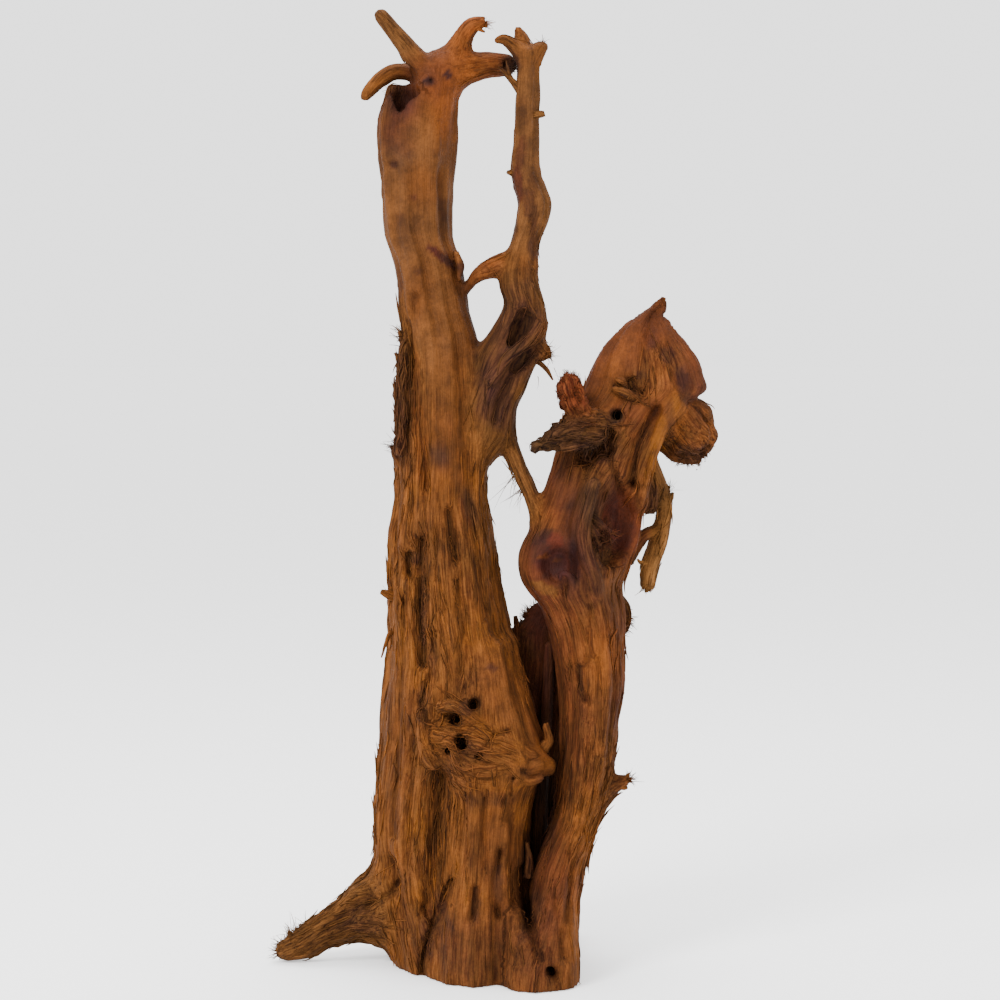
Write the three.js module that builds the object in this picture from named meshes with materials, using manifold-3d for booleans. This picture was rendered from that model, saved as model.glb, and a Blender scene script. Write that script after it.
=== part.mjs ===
// A piece of driftwood that stands on its own foot: a tall left stem that ends in broken stubs, a thin
// arm that grows out of it and runs up beside it, and a shorter right stem with a burl and a paddle
// shaped head. It grew as one piece, so it is one solid.
//
// Millimetres, +Z up, -Y is the front. The wood is described as a signed field (negative inside):
// stems are stacks of oval sections, limbs are chains of round points, and hollows and furrows are
// taken out of their blend. The surface is then drawn through the field and thinned to few faces.
import * as THREE from 'three';
import { mergeVertices } from 'three/addons/utils/BufferGeometryUtils.js';
import Module from 'manifold-3d';

// Driving dimensions
const HEIGHT = 609.6; // 24 inches, foot to the tip of the highest stub
const GRID_STEP = 3; // spacing of the lattice that the surface is first drawn on
const FACE_BUDGET = 9900; // triangles left in the body after thinning
const SOLE = -7.5; // the drawn body ends flat here, below the ground that it is then cut on
const MARGIN = 14; // how far outside its own surface a part still shapes the field
const STEM_TOP_BLEND = 5; // rounding where a stem meets its level top
const TWIG_SIDES = 5;
const DRAW_BOX = new THREE.Box3(new THREE.Vector3(-156, -99, -12), new THREE.Vector3(156, 138, 618));

// Stems: each section is [height, left x, right x, centre y, half depth].
const LEFT_STEM = {
  blend: 0,
  flute: 1.6,
  sections: [
    [-30, -65, 22, 11, 58],
    [10, -69.5, 20, 9, 56],
    [40, -75, 14, 7, 52],
    [70, -79, 12, 8, 49],
    [100, -78.5, 10, 8, 46],
    [140, -74.5, 16, 8, 45],
    [170, -73, 17, 7, 43],
    [200, -69.5, 9.5, 7, 41],
    [240, -70.5, 1.5, 7, 38],
    [280, -68.5, -4.5, 7, 35],
    [300, -65, -8.5, 7, 33],
    [340, -63.5, -9, 6, 30],
    [380, -61, -12, 6, 27],
    [404, -62, -14, 6, 25],
    [420, -63.5, -18.5, 6, 24],
    [450, -66.8, -24.5, 5, 22.5],
    [470, -73, -30, 4, 22],
    [500, -74.5, -30.3, 3, 22],
    [530, -77, -29, 3, 21.5],
    [545, -76, -29, 3, 20.5],
    [560, -71, -29, 3, 19],
    [572, -68.5, -29, 3, 17],
  ],
  top: 564,
};

const FRONT_BUTTRESS = {
  blend: 14,
  flute: 1.8,
  sections: [
    [-30, -46, 24, -22, 51],
    [20, -43, 20, -21, 46],
    [60, -37, 17, -19, 41],
    [90, -33, 16, -18, 38],
    [115, -33, 21, -19, 37],
    [135, -40, 29, -20, 37],
    [160, -38, 23, -15, 34],
    [185, -30, 14, -8, 30],
    [215, -22, 4, 0, 22],
  ],
  top: 208,
};

const RIGHT_STEM = {
  blend: 6,
  flute: 1.3,
  sections: [
    [-30, 0, 50, -40, 47],
    [10, 5, 48.5, -38, 44],
    [40, 17, 49, -33, 38],
    [70, 26, 53, -26, 33],
    [100, 38, 63, -19, 30],
    [125, 41, 70, -15, 28],
    [150, 42, 74, -13, 27],
    [180, 41, 78, -12, 26],
    [210, 36, 79, -12, 26],
    [232, 28, 79, -12, 26],
    [246, 18, 77, -12, 26],
    [260, 13.5, 82.5, -12, 27],
    [272, 16, 87, -11, 26],
    [284, 22, 90, -9, 24],
    [300, 28.5, 92, -7, 22],
    [320, 35.5, 96, -5, 20],
    [340, 41, 103, -3, 19],
    [358, 47, 118, -1, 18.5],
    [370, 53.5, 133, 1, 17.5],
    [380, 57.5, 131.5, 2, 16.5],
    [390, 62, 128, 3, 15],
    [400, 67.5, 120.5, 4, 12.5],
    [410, 77.5, 112.5, 5, 9.5],
    [418, 88, 107, 6, 6.5],
    [424, 98, 107, 6, 4.5],
    [430, 104, 107.5, 6, 2.5],
  ],
  top: 429.5,
};

const RISING_ARM = {
  blend: 9,
  flute: 0.7,
  sections: [
    [318, -30, -10, 2, 12],
    [340, -26, 8, 0, 16],
    [360, -24, 12.6, -1, 19],
    [372, -21, 18.5, -2, 20],
    [384, -17, 23, -2, 20],
    [395, -14, 28.5, -3, 19],
    [410, -4.5, 30.8, -4, 17],
    [425, 2.6, 29.5, -4, 14.5],
    [436, 0, 26.5, -4, 13],
    [446, 1, 24.2, -4, 11.5],
    [465, 7.5, 26, -4, 10],
    [478, 10.5, 31, -5, 10],
    [489, 12, 33, -5, 10],
    [500, 9.3, 29, -5, 9.5],
    [510, 7.8, 25.6, -5, 9],
    [530, 9.8, 24.6, -6, 8],
    [560, 11.2, 25, -8, 7.5],
    [575, 12, 25, -9, 7.5],
    [588, 12, 28, -9, 7],
  ],
  top: 587,
};

const BACK_WALL = {
  blend: 6,
  flute: 0.5,
  sections: [
    [-30, -10, 44, 20, 24],
    [40, -8, 46, 22, 15],
    [90, -6, 54, 24, 9],
    [150, -2, 64, 25, 7.5],
    [200, 6, 66, 22, 6.5],
    [214, 9, 62, 20, 6],
    [226, 19, 58, 17, 5.5],
    [236, 27, 54, 14, 5],
  ],
  top: 233,
};

const STEMS = [LEFT_STEM, FRONT_BUTTRESS, RIGHT_STEM, RISING_ARM, BACK_WALL];

// Limbs: each point is [x, y, z, radius in the front view, radius in depth].
const LIMBS = {
  frontRoot: {
    blend: 14,
    points: [
      [-136, 2, 7.5, 7, 8], [-126, 2, 12, 9, 9], [-113, 2, 20, 10, 10.5], [-102, 3, 24.5, 13, 12],
      [-91, 4, 29.5, 17, 14], [-78, 5, 34, 23, 19], [-58, 5, 38, 27, 26],
    ],
  },
  toeRight: { blend: 9, points: [[36, -60, -12, 14, 19], [36, -58, 14, 12.5, 17], [37, -50, 42, 9, 12]] },
  toeMiddle: { blend: 9, points: [[15, -62, -12, 11, 18], [14, -60, 12, 10, 16], [12, -50, 40, 8, 12]] },
  rearRoot: {
    blend: 18,
    points: [
      [-40, 112, 7, 8, 9], [-38, 100, 13, 11, 11], [-34, 84, 22, 15, 14], [-28, 66, 34, 20, 18],
      [-22, 42, 48, 27, 22],
    ],
  },
  rearSpur: {
    blend: 14,
    points: [[44, 78, 6, 8, 9], [40, 64, 12, 11, 11], [34, 46, 22, 16, 15], [26, 24, 34, 22, 20]],
  },
  crown: {
    blend: 6,
    points: [
      [-46, 2, 520, 14, 17], [-42, 0, 545, 13, 16], [-39, -2, 560, 12.5, 15], [-37.5, -2, 571, 11.5, 13],
    ],
  },
  upStub: {
    blend: 6,
    points: [
      [-42, -3, 568, 9.5, 9], [-50, -7, 577, 7.6, 7.5], [-58, -10, 587.5, 5.8, 6],
      [-66.5, -13, 597.5, 4.9, 5],
      [-73.5, -15, 605.8, 4.3, 4.4],
    ],
  },
  leftHook: {
    blend: 5,
    points: [
      [-44, 6, 569, 7, 7], [-58, 6, 572.8, 4.8, 5.5], [-68, 5, 572.3, 4.6, 5], [-76, 3, 567, 4.6, 4.6],
      [-82, 1, 560.5, 4, 4], [-84.5, 0, 557.5, 3.2, 3.2],
    ],
  },
  topStub: {
    blend: 8,
    points: [
      [-34, -2, 573, 10.5, 11], [-26.5, -3, 586, 7.4, 7.5], [-21.5, -4, 596, 5.4, 5.4],
      [-17, -5, 601, 4.8, 4.8],
      [-12, -6, 602.5, 3.6, 3.6],
    ],
  },
  rightStub: {
    blend: 8,
    points: [
      [-34, -1, 571, 12, 12], [-19, 0, 574.5, 9.4, 10], [-8, 2, 576.8, 8.2, 8.6], [0, 4, 577, 7.4, 7.6],
      [4.6, 5, 577.3, 6.6, 7],
    ],
  },
  armHook: {
    blend: 6,
    points: [
      [14, -4, 449, 9, 9], [3, -5, 450, 7.6, 7.5], [-5, -6, 447.5, 6, 6], [-11.5, -6, 444.5, 4.5, 4.7],
      [-16, -5, 440.5, 3.3, 3.3], [-19.5, -2, 435.5, 2.4, 2.4], [-24, 3, 431, 2.4, 2.4],
    ],
  },
  tieRoot: {
    blend: 7,
    points: [
      [-4, -1, 356, 10, 12], [3, -2, 342, 7, 8], [9.5, -3, 329, 5.2, 5.6], [15, -4, 316.5, 4.6, 4.8],
      [20.5, -6, 304, 4.7, 4.8], [26, -8, 292, 6, 6], [34, -9, 280, 9, 8],
    ],
  },
  crownHook: {
    blend: 3,
    points: [
      [16, -9, 581, 5.5, 5], [8.5, -11, 588.5, 3.8, 3.6], [3, -12, 592, 2.8, 2.8],
      [-0.5, -12, 591.3, 2.2, 2.2],
    ],
  },
  crownPeak: {
    blend: 3,
    points: [[17, -7, 584, 5.5, 5.5], [14.5, -6, 592, 4.2, 4.2], [12.3, -6, 598, 2.3, 2.3]],
  },
  crownKnob: {
    blend: 3,
    points: [[22, -8, 580, 5, 5], [26, -9, 586, 4.4, 5], [28, -9, 587, 3.2, 3.5]],
  },
  neckRib: {
    blend: 5,
    points: [
      [76, -14, 336, 9, 9], [67, -20, 322, 7.5, 8], [59, -25, 308, 5.8, 8], [53.5, -29, 294, 5.6, 8],
      [52, -31, 280, 6.8, 8.5], [55, -30, 266, 8.5, 9], [60, -27, 251, 9, 9], [64, -20, 234, 9, 9],
    ],
  },
  headRib: {
    blend: 7,
    points: [
      [112, -8, 364, 7, 9], [103, -12, 350, 5.6, 8], [97, -13, 335, 5, 8], [91, -13, 318, 5, 8],
      [88, -12, 300, 5, 8],
    ],
  },
  darkClaw: {
    blend: 5,
    points: [
      [64, -18, 344, 12, 11], [52, -24, 345, 11.5, 10], [43, -29, 343.5, 8.5, 8], [35, -32, 339.5, 5.4, 5.4],
      [28, -34, 336.8, 3.4, 3.6], [23.5, -35, 335, 2.6, 2.8],
    ],
  },
  frayedStub: {
    blend: 5,
    points: [
      [57, -16, 346, 9, 9], [51, -24, 357, 7.4, 7.4], [46.5, -28, 367, 6.8, 6.8],
      [44.5, -29, 374.5, 5.8, 5.8],
    ],
  },
  lobe: {
    blend: 9,
    points: [
      [104, 5, 360, 13, 9], [112, 8, 351, 16, 8.5], [119, 10, 343.5, 19, 7.5], [121, 11, 341.5, 18.4, 7],
    ],
  },
  lobeCorner: { blend: 5, points: [[120, 9, 351, 9, 6.5], [130, 11, 354, 6.6, 5.5]] },
  strip: {
    blend: 3,
    points: [
      [94, 6, 328, 6, 7], [100, 11, 317, 5.2, 6], [104.5, 13, 306, 5, 5], [107, 14, 294, 5, 4],
      [105, 14, 280, 5, 3.8], [102, 14, 267, 5.4, 3.8], [97.5, 13, 255, 5.6, 3.6], [96, 12, 245, 4.4, 3],
    ],
  },
  stripWeb: {
    blend: 4,
    points: [[92, 6, 318, 7, 6], [96, 9, 306, 7, 5], [96, 9, 297, 6, 4.5]],
  },
  stripBridge: {
    blend: 4,
    points: [[82, 2, 263, 6, 6], [89, 6, 271.5, 4.6, 4.6], [96, 10, 278, 3.4, 3.4], [102, 13, 279, 3.2, 3.2]],
  },
  sideStub: {
    blend: 9,
    points: [[58, -10, 108, 11, 11], [69, -13, 116, 7, 7], [76, -15, 119.5, 4.8, 5], [80, -16, 121, 3.6, 4]],
  },
  burlKnob: {
    blend: 7,
    points: [[8, -36, 138, 12, 10], [22, -34, 135, 9, 9], [30, -31, 133, 6, 7]],
  },
  burlMass: { blend: 6, points: [[-33, -31, 150, 13, 13], [-14, -45, 147, 15, 14], [4, -44, 140, 12, 13]] },
  burlRim: {
    blend: 7,
    points: [[-36, -34, 140, 7, 7], [-24, -44, 133, 8, 8], [-8, -47, 130, 8, 8], [8, -44, 131, 8, 8]],
  },
  burlRidge: {
    blend: 5,
    points: [[-22, -40, 168, 5, 6], [-14, -44, 160, 4.5, 5], [-5, -44, 152, 4.5, 5], [4, -42, 146, 6, 6]],
  },
  armRidge: {
    blend: 4,
    points: [
      [26, -14, 412, 4.5, 5], [20, -18, 403, 4, 5], [12, -20, 396, 3.6, 4.6], [4, -21, 389, 3.6, 4.6],
      [-4, -20, 378, 4, 5],
    ],
  },
  barkFlap: {
    blend: 4,
    points: [
      [-59, -2, 398, 3.2, 8], [-61, -3, 380, 3.4, 10], [-61.2, -3, 355, 3.6, 12], [-62.5, -2, 332, 3.6, 11],
    ],
  },
  sideFlake: {
    blend: 3,
    points: [[76, 2, 236, 4, 5], [80, 1, 230, 4, 8], [80, 0, 221, 4, 8], [76, 0, 214, 4, 5]],
  },
  backKnot: { blend: 10, points: [[-46, 26, 190, 16, 14], [-50, 44, 196, 9, 9], [-53, 53, 199, 6.5, 6.5]] },
  backStub: { blend: 7, points: [[-40, 18, 452, 9, 9], [-38, 30, 460, 6.5, 6.5], [-36, 38, 467, 5, 5]] },
  backRidge: {
    blend: 9,
    points: [[-30, 38, 60, 13, 13], [-22, 40, 120, 11, 11], [-24, 34, 190, 9, 10], [-34, 28, 270, 8, 9]],
  },
  headBack: { blend: 8, points: [[88, 12, 352, 16, 12], [84, 16, 330, 13, 11], [74, 14, 300, 12, 12]] },
};

// Hollows: chains like the limbs, taken out of the wood.
const HOLLOWS = {
  stemTopHollow: {
    blend: 2.5,
    points: [[-60, -10, 568, 9, 9], [-60, -6, 556, 7.5, 9], [-59, -4, 546, 4, 5]],
  },
  eye: {
    blend: 4,
    points: [[33, -43, 270, 12, 12], [35, -39, 261, 14.5, 14], [38, -40, 250, 10, 10]],
  },
  neckHollow: {
    blend: 5,
    points: [
      [80, -31, 304, 10, 13], [78, -28, 291, 13.5, 15], [75, -28, 279, 12.5, 14.5], [71, -31, 267, 8, 10],
    ],
  },
  headHole: {
    blend: 1.2,
    points: [[74, -24, 356.5, 4, 4], [76, -14, 354, 3.6, 3.6], [78, -6, 352, 2.4, 2.4]],
  },
  clawPit: { blend: 2, points: [[70, -24, 342, 5.5, 7], [64, -20, 337, 6, 7], [56, -19, 329, 6.5, 7]] },
  burlHoleHigh: {
    blend: 1.5,
    points: [[-17, -52, 175, 3.4, 4], [-16, -36, 173, 3.2, 4], [-15, -26, 170, 2.2, 2.4]],
  },
  burlHoleLeft: {
    blend: 2,
    points: [[-28, -54, 166, 4.6, 4], [-27, -38, 164, 4.2, 4], [-25, -28, 161, 2.6, 3]],
  },
  burlHoleLow: {
    blend: 1.5,
    points: [[-23, -58, 151, 4, 4], [-20, -42, 146, 3.6, 4], [-17, -34, 142, 3, 3]],
  },
  burlHoleSmall: { blend: 1, points: [[-32, -56, 146, 2.6, 3], [-31, -38, 145, 2.2, 3]] },
  armPit: { blend: 3, points: [[20, -26, 425, 6.5, 8], [16, -24, 416, 6.5, 7], [12, -23, 406, 4, 5]] },
  armUnderPit: { blend: 3, points: [[20, -27, 394, 5.5, 7], [12, -27, 384, 5.5, 6], [6, -27, 372, 4, 5]] },
  flankPit: { blend: 3, points: [[-66, -22, 372, 4, 8], [-66, -22, 350, 4.5, 9], [-66, -20, 330, 4, 7]] },
  rootSeam: { blend: 4, points: [[-84, -13, 45, 4, 5], [-98, -10, 33, 3.4, 4.5], [-110, -8, 24, 2, 3]] },
  backHollow: { blend: 5, points: [[-2, 66, 96, 9, 14], [-4, 62, 70, 10, 14], [-6, 66, 48, 7, 10]] },
  backSlot: { blend: 2, points: [[-52, 48, 330, 3, 10], [-50, 46, 300, 3.6, 9], [-50, 50, 272, 2.6, 8]] },
};

// Furrows and ridges: a path of [x, z] on the front or the back, as wide and deep as given. A negative
// depth raises a ridge. They act only on wood in front of (or behind) the y given as reach.
const FURROWS = [
  { path: [[-36, 128], [-38, 108], [-40, 88], [-41, 66], [-43, 44]], width: 6.5, depth: 8, front: -18 },
  { path: [[-29, 62], [-35, 48], [-42, 32], [-47, 14], [-48, 2]], width: 2.6, depth: 6, front: -10 },
  { path: [[-15, 60], [-15, 52], [-16, 42]], width: 2.6, depth: 8, front: -20 },
  { path: [[1, 82], [-3, 66], [-4, 54], [0, 42]], width: 2.2, depth: 5, front: -20 },
  { path: [[-48, 276], [-48, 250], [-48.5, 225], [-47, 198]], width: 3.6, depth: 6.5, front: 0 },
  { path: [[-41, 216], [-40, 204], [-42, 190], [-48, 172]], width: 3, depth: 4.5, front: 0 },
  { path: [[-32, 294], [-30, 280], [-27, 264]], width: 3, depth: 5, front: 0 },
  { path: [[-52, 430], [-54, 400], [-50, 370], [-49, 340], [-45, 310]], width: 3.2, depth: 3.2, front: 2 },
  { path: [[-57, 266], [-56, 254]], width: 3.4, depth: 7, front: 0 },
  { path: [[52, 196], [52, 186], [55, 176]], width: 2.4, depth: 4.5, front: -14 },
  { path: [[62, 200], [64, 170], [60, 130], [54, 96]], width: 4, depth: 3, front: -16 },
  { path: [[56, 158], [60, 150], [64, 144]], width: 5, depth: -3.5, front: -16 },
  { path: [[14, 66], [16, 50], [22, 34], [26, 20]], width: 3.4, depth: 7, front: -20 },
  { path: [[32, 12], [34, 9]], width: 3, depth: 7, front: -30 },
  { path: [[-66, 70], [-62, 50], [-56, 30]], width: 4, depth: 4, front: 0 },
  { path: [[-60, 560], [-62, 540], [-58, 520]], width: 5, depth: 2.5, front: 0 },
  { path: [[84, 376], [86, 371], [91, 369]], width: 2.6, depth: 5, front: -4 },
  { path: [[96, 404], [108, 392], [116, 376], [120, 364]], width: 4, depth: 2.6, front: 0 },
  { path: [[-44, 30], [-50, 90], [-56, 150], [-54, 220]], width: 6, depth: 7, back: 12 },
  { path: [[6, 30], [8, 90], [4, 150], [-10, 230], [-26, 330]], width: 6, depth: 6, back: 12 },
  { path: [[-60, 250], [-58, 320], [-54, 400], [-60, 480]], width: 5, depth: 4, back: 8 },
  { path: [[60, 60], [58, 120], [66, 190], [60, 260]], width: 5, depth: 4.5, back: 2 },
  { path: [[96, 400], [92, 370], [84, 340]], width: 5, depth: 3.5, back: 8 },
];

// Splinters and twigs too thin for the lattice: tapered sticks of [x, y, z, radius] with sunk roots.
const TWIGS = {
  prongLong: [[15, -10, 558, 3.4], [9, -13, 565, 2.2], [4, -15, 570.5, 1.5], [-0.5, -16, 574, 0.7]],
  prongShort: [[8.5, -13, 565.5, 1.7], [6.2, -14.5, 572, 1.2], [5.2, -15, 578, 0.6]],
  armNub: [[20, -8, 544, 3.2], [26, -9, 545, 2.6], [29.3, -9.5, 545.5, 1.9]],
  armThorn: [[12, -6, 507, 3.2], [8, -7, 508.5, 2.2], [5.4, -7.5, 509, 1.1]],
  kneeSplinter: [[22, -6, 394, 3.4], [29, -8, 394.5, 2.4], [32.5, -8.5, 395.5, 1.5]],
  hangingTwig: [[19, -6, 391, 2.8], [26, -8, 388, 1.8], [31, -9, 383, 1.5], [34.6, -9.5, 377, 0.6]],
  frayA: [[-16, -5, 601, 3], [-11, -6, 605, 1.7], [-8.5, -6.5, 605.5, 0.8]],
  frayB: [[-15, -5, 600, 2.6], [-9.5, -6, 601, 1.6], [-6.8, -6.5, 600.2, 0.7]],
  frayC: [[-16, -5, 600, 2.6], [-11.5, -8, 598, 1.3], [-8.4, -9, 596.5, 0.6]],
  wallSpike: [[13, 19, 206, 3.4], [12, 18.5, 216, 2.4], [10.8, 18, 223.5, 1.4]],
  stripForkA: [[106, 14, 298, 3.4], [109, 14.5, 304, 2], [109.6, 14.6, 308.5, 1.1]],
  stripForkB: [[107, 14, 294, 3.2], [111, 14.5, 299, 1.9], [112.8, 14.8, 304, 1]],
  stubTipA: [[77, -15, 120, 3], [81, -16.5, 123, 1.7], [83.4, -17, 126, 0.7]],
  stubTipB: [[76, -15, 119, 3], [80, -17, 117, 2], [82.5, -17.5, 116.5, 1]],
  headTip: [[101, 6, 418, 4], [104.5, 6, 425, 2.4], [106, 6, 429.5, 1.3]],
  burlThorn: [[28, -27, 143, 4.4], [32, -28, 149, 3.2], [30.5, -28, 157, 2.4], [30, -28, 160, 1.7]],
  flankNub: [[-66, -2, 238, 4], [-72, -3, 240, 2.8], [-75.5, -3.5, 241.5, 1.7]],
  flankSplinterHigh: [[-58, -2, 392, 3.4], [-61, -3, 401, 2], [-63.6, -3.5, 408, 0.9]],
  flankSplinterMid: [[-58, -3, 378, 3.8], [-63, -4, 388, 2.2], [-65.6, -4.5, 394.5, 1]],
  flankSplinterLow: [[-62, -2, 322, 3.8], [-66.5, -3, 330, 2.2], [-68.5, -3.5, 335, 1]],
  flankHair: [[-69, -4, 216, 2], [-72.5, -5, 208, 1.2], [-75, -5.5, 199, 0.5]],
  clawTip: [[26, -34.5, 336, 2.6], [23, -35, 334, 1.7], [21.8, -35.4, 332.4, 0.9]],
  rightNub: [[74, -8, 202, 3.4], [79, -8.5, 203, 2.1], [82, -9, 202.5, 1]],
  edgeNub: [[69, -12, 143, 4], [73.6, -13, 143.5, 2.2], [75.6, -13.4, 143.2, 1]],
  stripTooth: [[97, 12, 258, 3], [92.5, 11.5, 258.5, 1.7], [89.6, 11, 261, 0.7]],
  wallSplinter: [[19, -30, 62, 4], [19.5, -32, 74, 2.6], [18, -32, 84, 1.2]],
};

// Smallest of two fields, rounded off over the distance k where they meet.
function blendIn(a, b, k) {
  const overlap = k > 0 ? Math.max(k - Math.abs(a - b), 0) / k : 0;
  return Math.min(a, b) - (overlap * overlap * k) / 4;
}

// The field with a hollow taken out of it.
function carve(field, hollow, k) {
  return -blendIn(-field, hollow, k);
}

// Value at h of a smooth curve through rows that start with their height, by column.
function columnAt(rows, i, t, column) {
  const last = rows.length - 1;
  const [a, b, c, d] = [rows[Math.max(i - 1, 0)], rows[i], rows[i + 1], rows[Math.min(i + 2, last)]];
  const span = c[0] - b[0];
  const slopeB = ((c[column] - a[column]) / (c[0] - a[0])) * span;
  const slopeC = ((d[column] - b[column]) / (d[0] - b[0])) * span;
  const [t2, t3] = [t * t, t * t * t];
  return (
    (2 * t3 - 3 * t2 + 1) * b[column] + (t3 - 2 * t2 + t) * slopeB +
    (3 * t2 - 2 * t3) * c[column] + (t3 - t2) * slopeC
  );
}

// A stem's section at height z, as { left, right, y, depth }.
function sectionAt(rows, z) {
  const last = rows.length - 1;
  const h = THREE.MathUtils.clamp(z, rows[0][0], rows[last][0]);
  let i = 0;
  while (i < last - 1 && rows[i + 1][0] <= h) i += 1;
  const t = (h - rows[i][0]) / (rows[i + 1][0] - rows[i][0]);
  const [left, right, y, depth] = [1, 2, 3, 4].map((column) => columnAt(rows, i, t, column));
  return { left, right, y, depth };
}

// Long shallow flutes round a stem, which wander slowly as they rise.
function flutes(angle, z) {
  return (
    0.9 * Math.sin(2 * angle + 0.7 + z / 95) +
    0.8 * Math.sin(3 * angle + 2.1 - z / 70) +
    0.7 * Math.sin(5 * angle + 4.0 + z / 55) +
    0.55 * Math.sin(8 * angle + 1.3 - z / 48) +
    0.45 * Math.sin(13 * angle + 5.2 + z / 60)
  );
}

function stemField(stem, sections, x, y, z) {
  const s = sections[THREE.MathUtils.clamp(Math.round(z - stem.sections[0][0]), 0, sections.length - 1)];
  const halfWidth = Math.max((s.right - s.left) / 2, 0.5);
  const dx = x - (s.left + s.right) / 2;
  const dy = y - s.y;
  const away = Math.hypot(dx, dy);
  const share = Math.hypot(dx / halfWidth, dy / s.depth);
  const angle = Math.atan2(dy / s.depth, dx / halfWidth);
  const side = share > 0.02 ? away - away / share : -Math.min(halfWidth, s.depth);
  return carve(side - stem.flute * flutes(angle, z), stem.top - z, STEM_TOP_BLEND);
}

// Splits a chain into short straight pieces along a smooth curve through its points.
function chainPieces(points) {
  const curve = new THREE.CatmullRomCurve3(points.map(([x, y, z]) => new THREE.Vector3(x, y, z)));
  const pieces = [];
  const perSpan = 3;
  const count = (points.length - 1) * perSpan;
  for (let i = 0; i <= count; i += 1) {
    const at = i / perSpan;
    const j = Math.min(Math.floor(at), points.length - 2);
    const centre = curve.getPoint(i / count);
    const radius = THREE.MathUtils.lerp(points[j][3], points[j + 1][3], at - j);
    const depth = THREE.MathUtils.lerp(points[j][4], points[j + 1][4], at - j);
    pieces.push({ x: centre.x, y: centre.y, z: centre.z, radius, flatness: radius / depth });
  }
  return pieces;
}

function chainField(pieces, x, y, z) {
  let nearest = Infinity;
  for (let i = 0; i < pieces.length - 1; i += 1) {
    const a = pieces[i];
    const b = pieces[i + 1];
    const [ex, ey, ez] = [b.x - a.x, b.y - a.y, b.z - a.z];
    const [px, py, pz] = [x - a.x, y - a.y, z - a.z];
    const along = THREE.MathUtils.clamp(
      (px * ex + py * ey + pz * ez) / (ex * ex + ey * ey + ez * ez), 0, 1,
    );
    const flatness = a.flatness + (b.flatness - a.flatness) * along;
    const distance = Math.hypot(px - ex * along, (py - ey * along) * flatness, pz - ez * along);
    nearest = Math.min(nearest, distance - a.radius - (b.radius - a.radius) * along);
  }
  return nearest;
}

// Bounds of a chain, grown by its radii and its blend, to leave far points out early.
function chainBox(pieces, margin) {
  const box = new THREE.Box3();
  for (const p of pieces) {
    const reach = Math.max(p.radius, p.radius / p.flatness) + margin;
    box.expandByPoint(new THREE.Vector3(p.x - reach, p.y - reach, p.z - reach));
    box.expandByPoint(new THREE.Vector3(p.x + reach, p.y + reach, p.z + reach));
  }
  return box;
}

function inside(box, x, y, z) {
  return (
    x > box.min.x && x < box.max.x && y > box.min.y && y < box.max.y && z > box.min.z && z < box.max.z
  );
}

const prepareChain = ({ blend, points }) => {
  const pieces = chainPieces(points);
  return { blend, pieces, box: chainBox(pieces, MARGIN) };
};
const limbs = Object.values(LIMBS).map(prepareChain);
const hollows = Object.values(HOLLOWS).map(prepareChain);
const stems = STEMS.map((stem) => {
  const [low, high] = [stem.sections[0][0], stem.sections.at(-1)[0]];
  const sections = [];
  for (let z = low; z <= high; z += 1) sections.push(sectionAt(stem.sections, z));
  return { stem, sections, high: stem.top + MARGIN };
});

function distanceToPath(path, x, z) {
  let nearest = Infinity;
  for (let i = 0; i < path.length - 1; i += 1) {
    const [ax, az] = path[i];
    const [bx, bz] = path[i + 1];
    const [ex, ez] = [bx - ax, bz - az];
    const along = THREE.MathUtils.clamp(((x - ax) * ex + (z - az) * ez) / (ex * ex + ez * ez), 0, 1);
    nearest = Math.min(nearest, Math.hypot(x - ax - ex * along, z - az - ez * along));
  }
  return nearest;
}

function furrowDepth(x, y, z) {
  let depth = 0;
  for (const furrow of FURROWS) {
    const beyond = furrow.front === undefined ? y - furrow.back : furrow.front - y;
    if (beyond <= 0) continue;
    const away = distanceToPath(furrow.path, x, z);
    if (away > furrow.width * 2.5) continue;
    depth += furrow.depth * Math.exp(-((away / furrow.width) ** 2)) * Math.min(beyond / 6, 1);
  }
  return depth;
}

// The wood's field at a point.
function wood(x, y, z) {
  let field = 60;
  for (const { stem, sections, high } of stems) {
    if (z < high) field = blendIn(field, stemField(stem, sections, x, y, z), stem.blend);
  }
  for (const limb of limbs) {
    if (inside(limb.box, x, y, z)) field = blendIn(field, chainField(limb.pieces, x, y, z), limb.blend);
  }
  if (Math.abs(field) > MARGIN) return Math.max(field, SOLE - z);
  for (const hollow of hollows) {
    if (inside(hollow.box, x, y, z)) field = carve(field, chainField(hollow.pieces, x, y, z), hollow.blend);
  }
  return Math.max(field + furrowDepth(x, y, z), SOLE - z);
}

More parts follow.
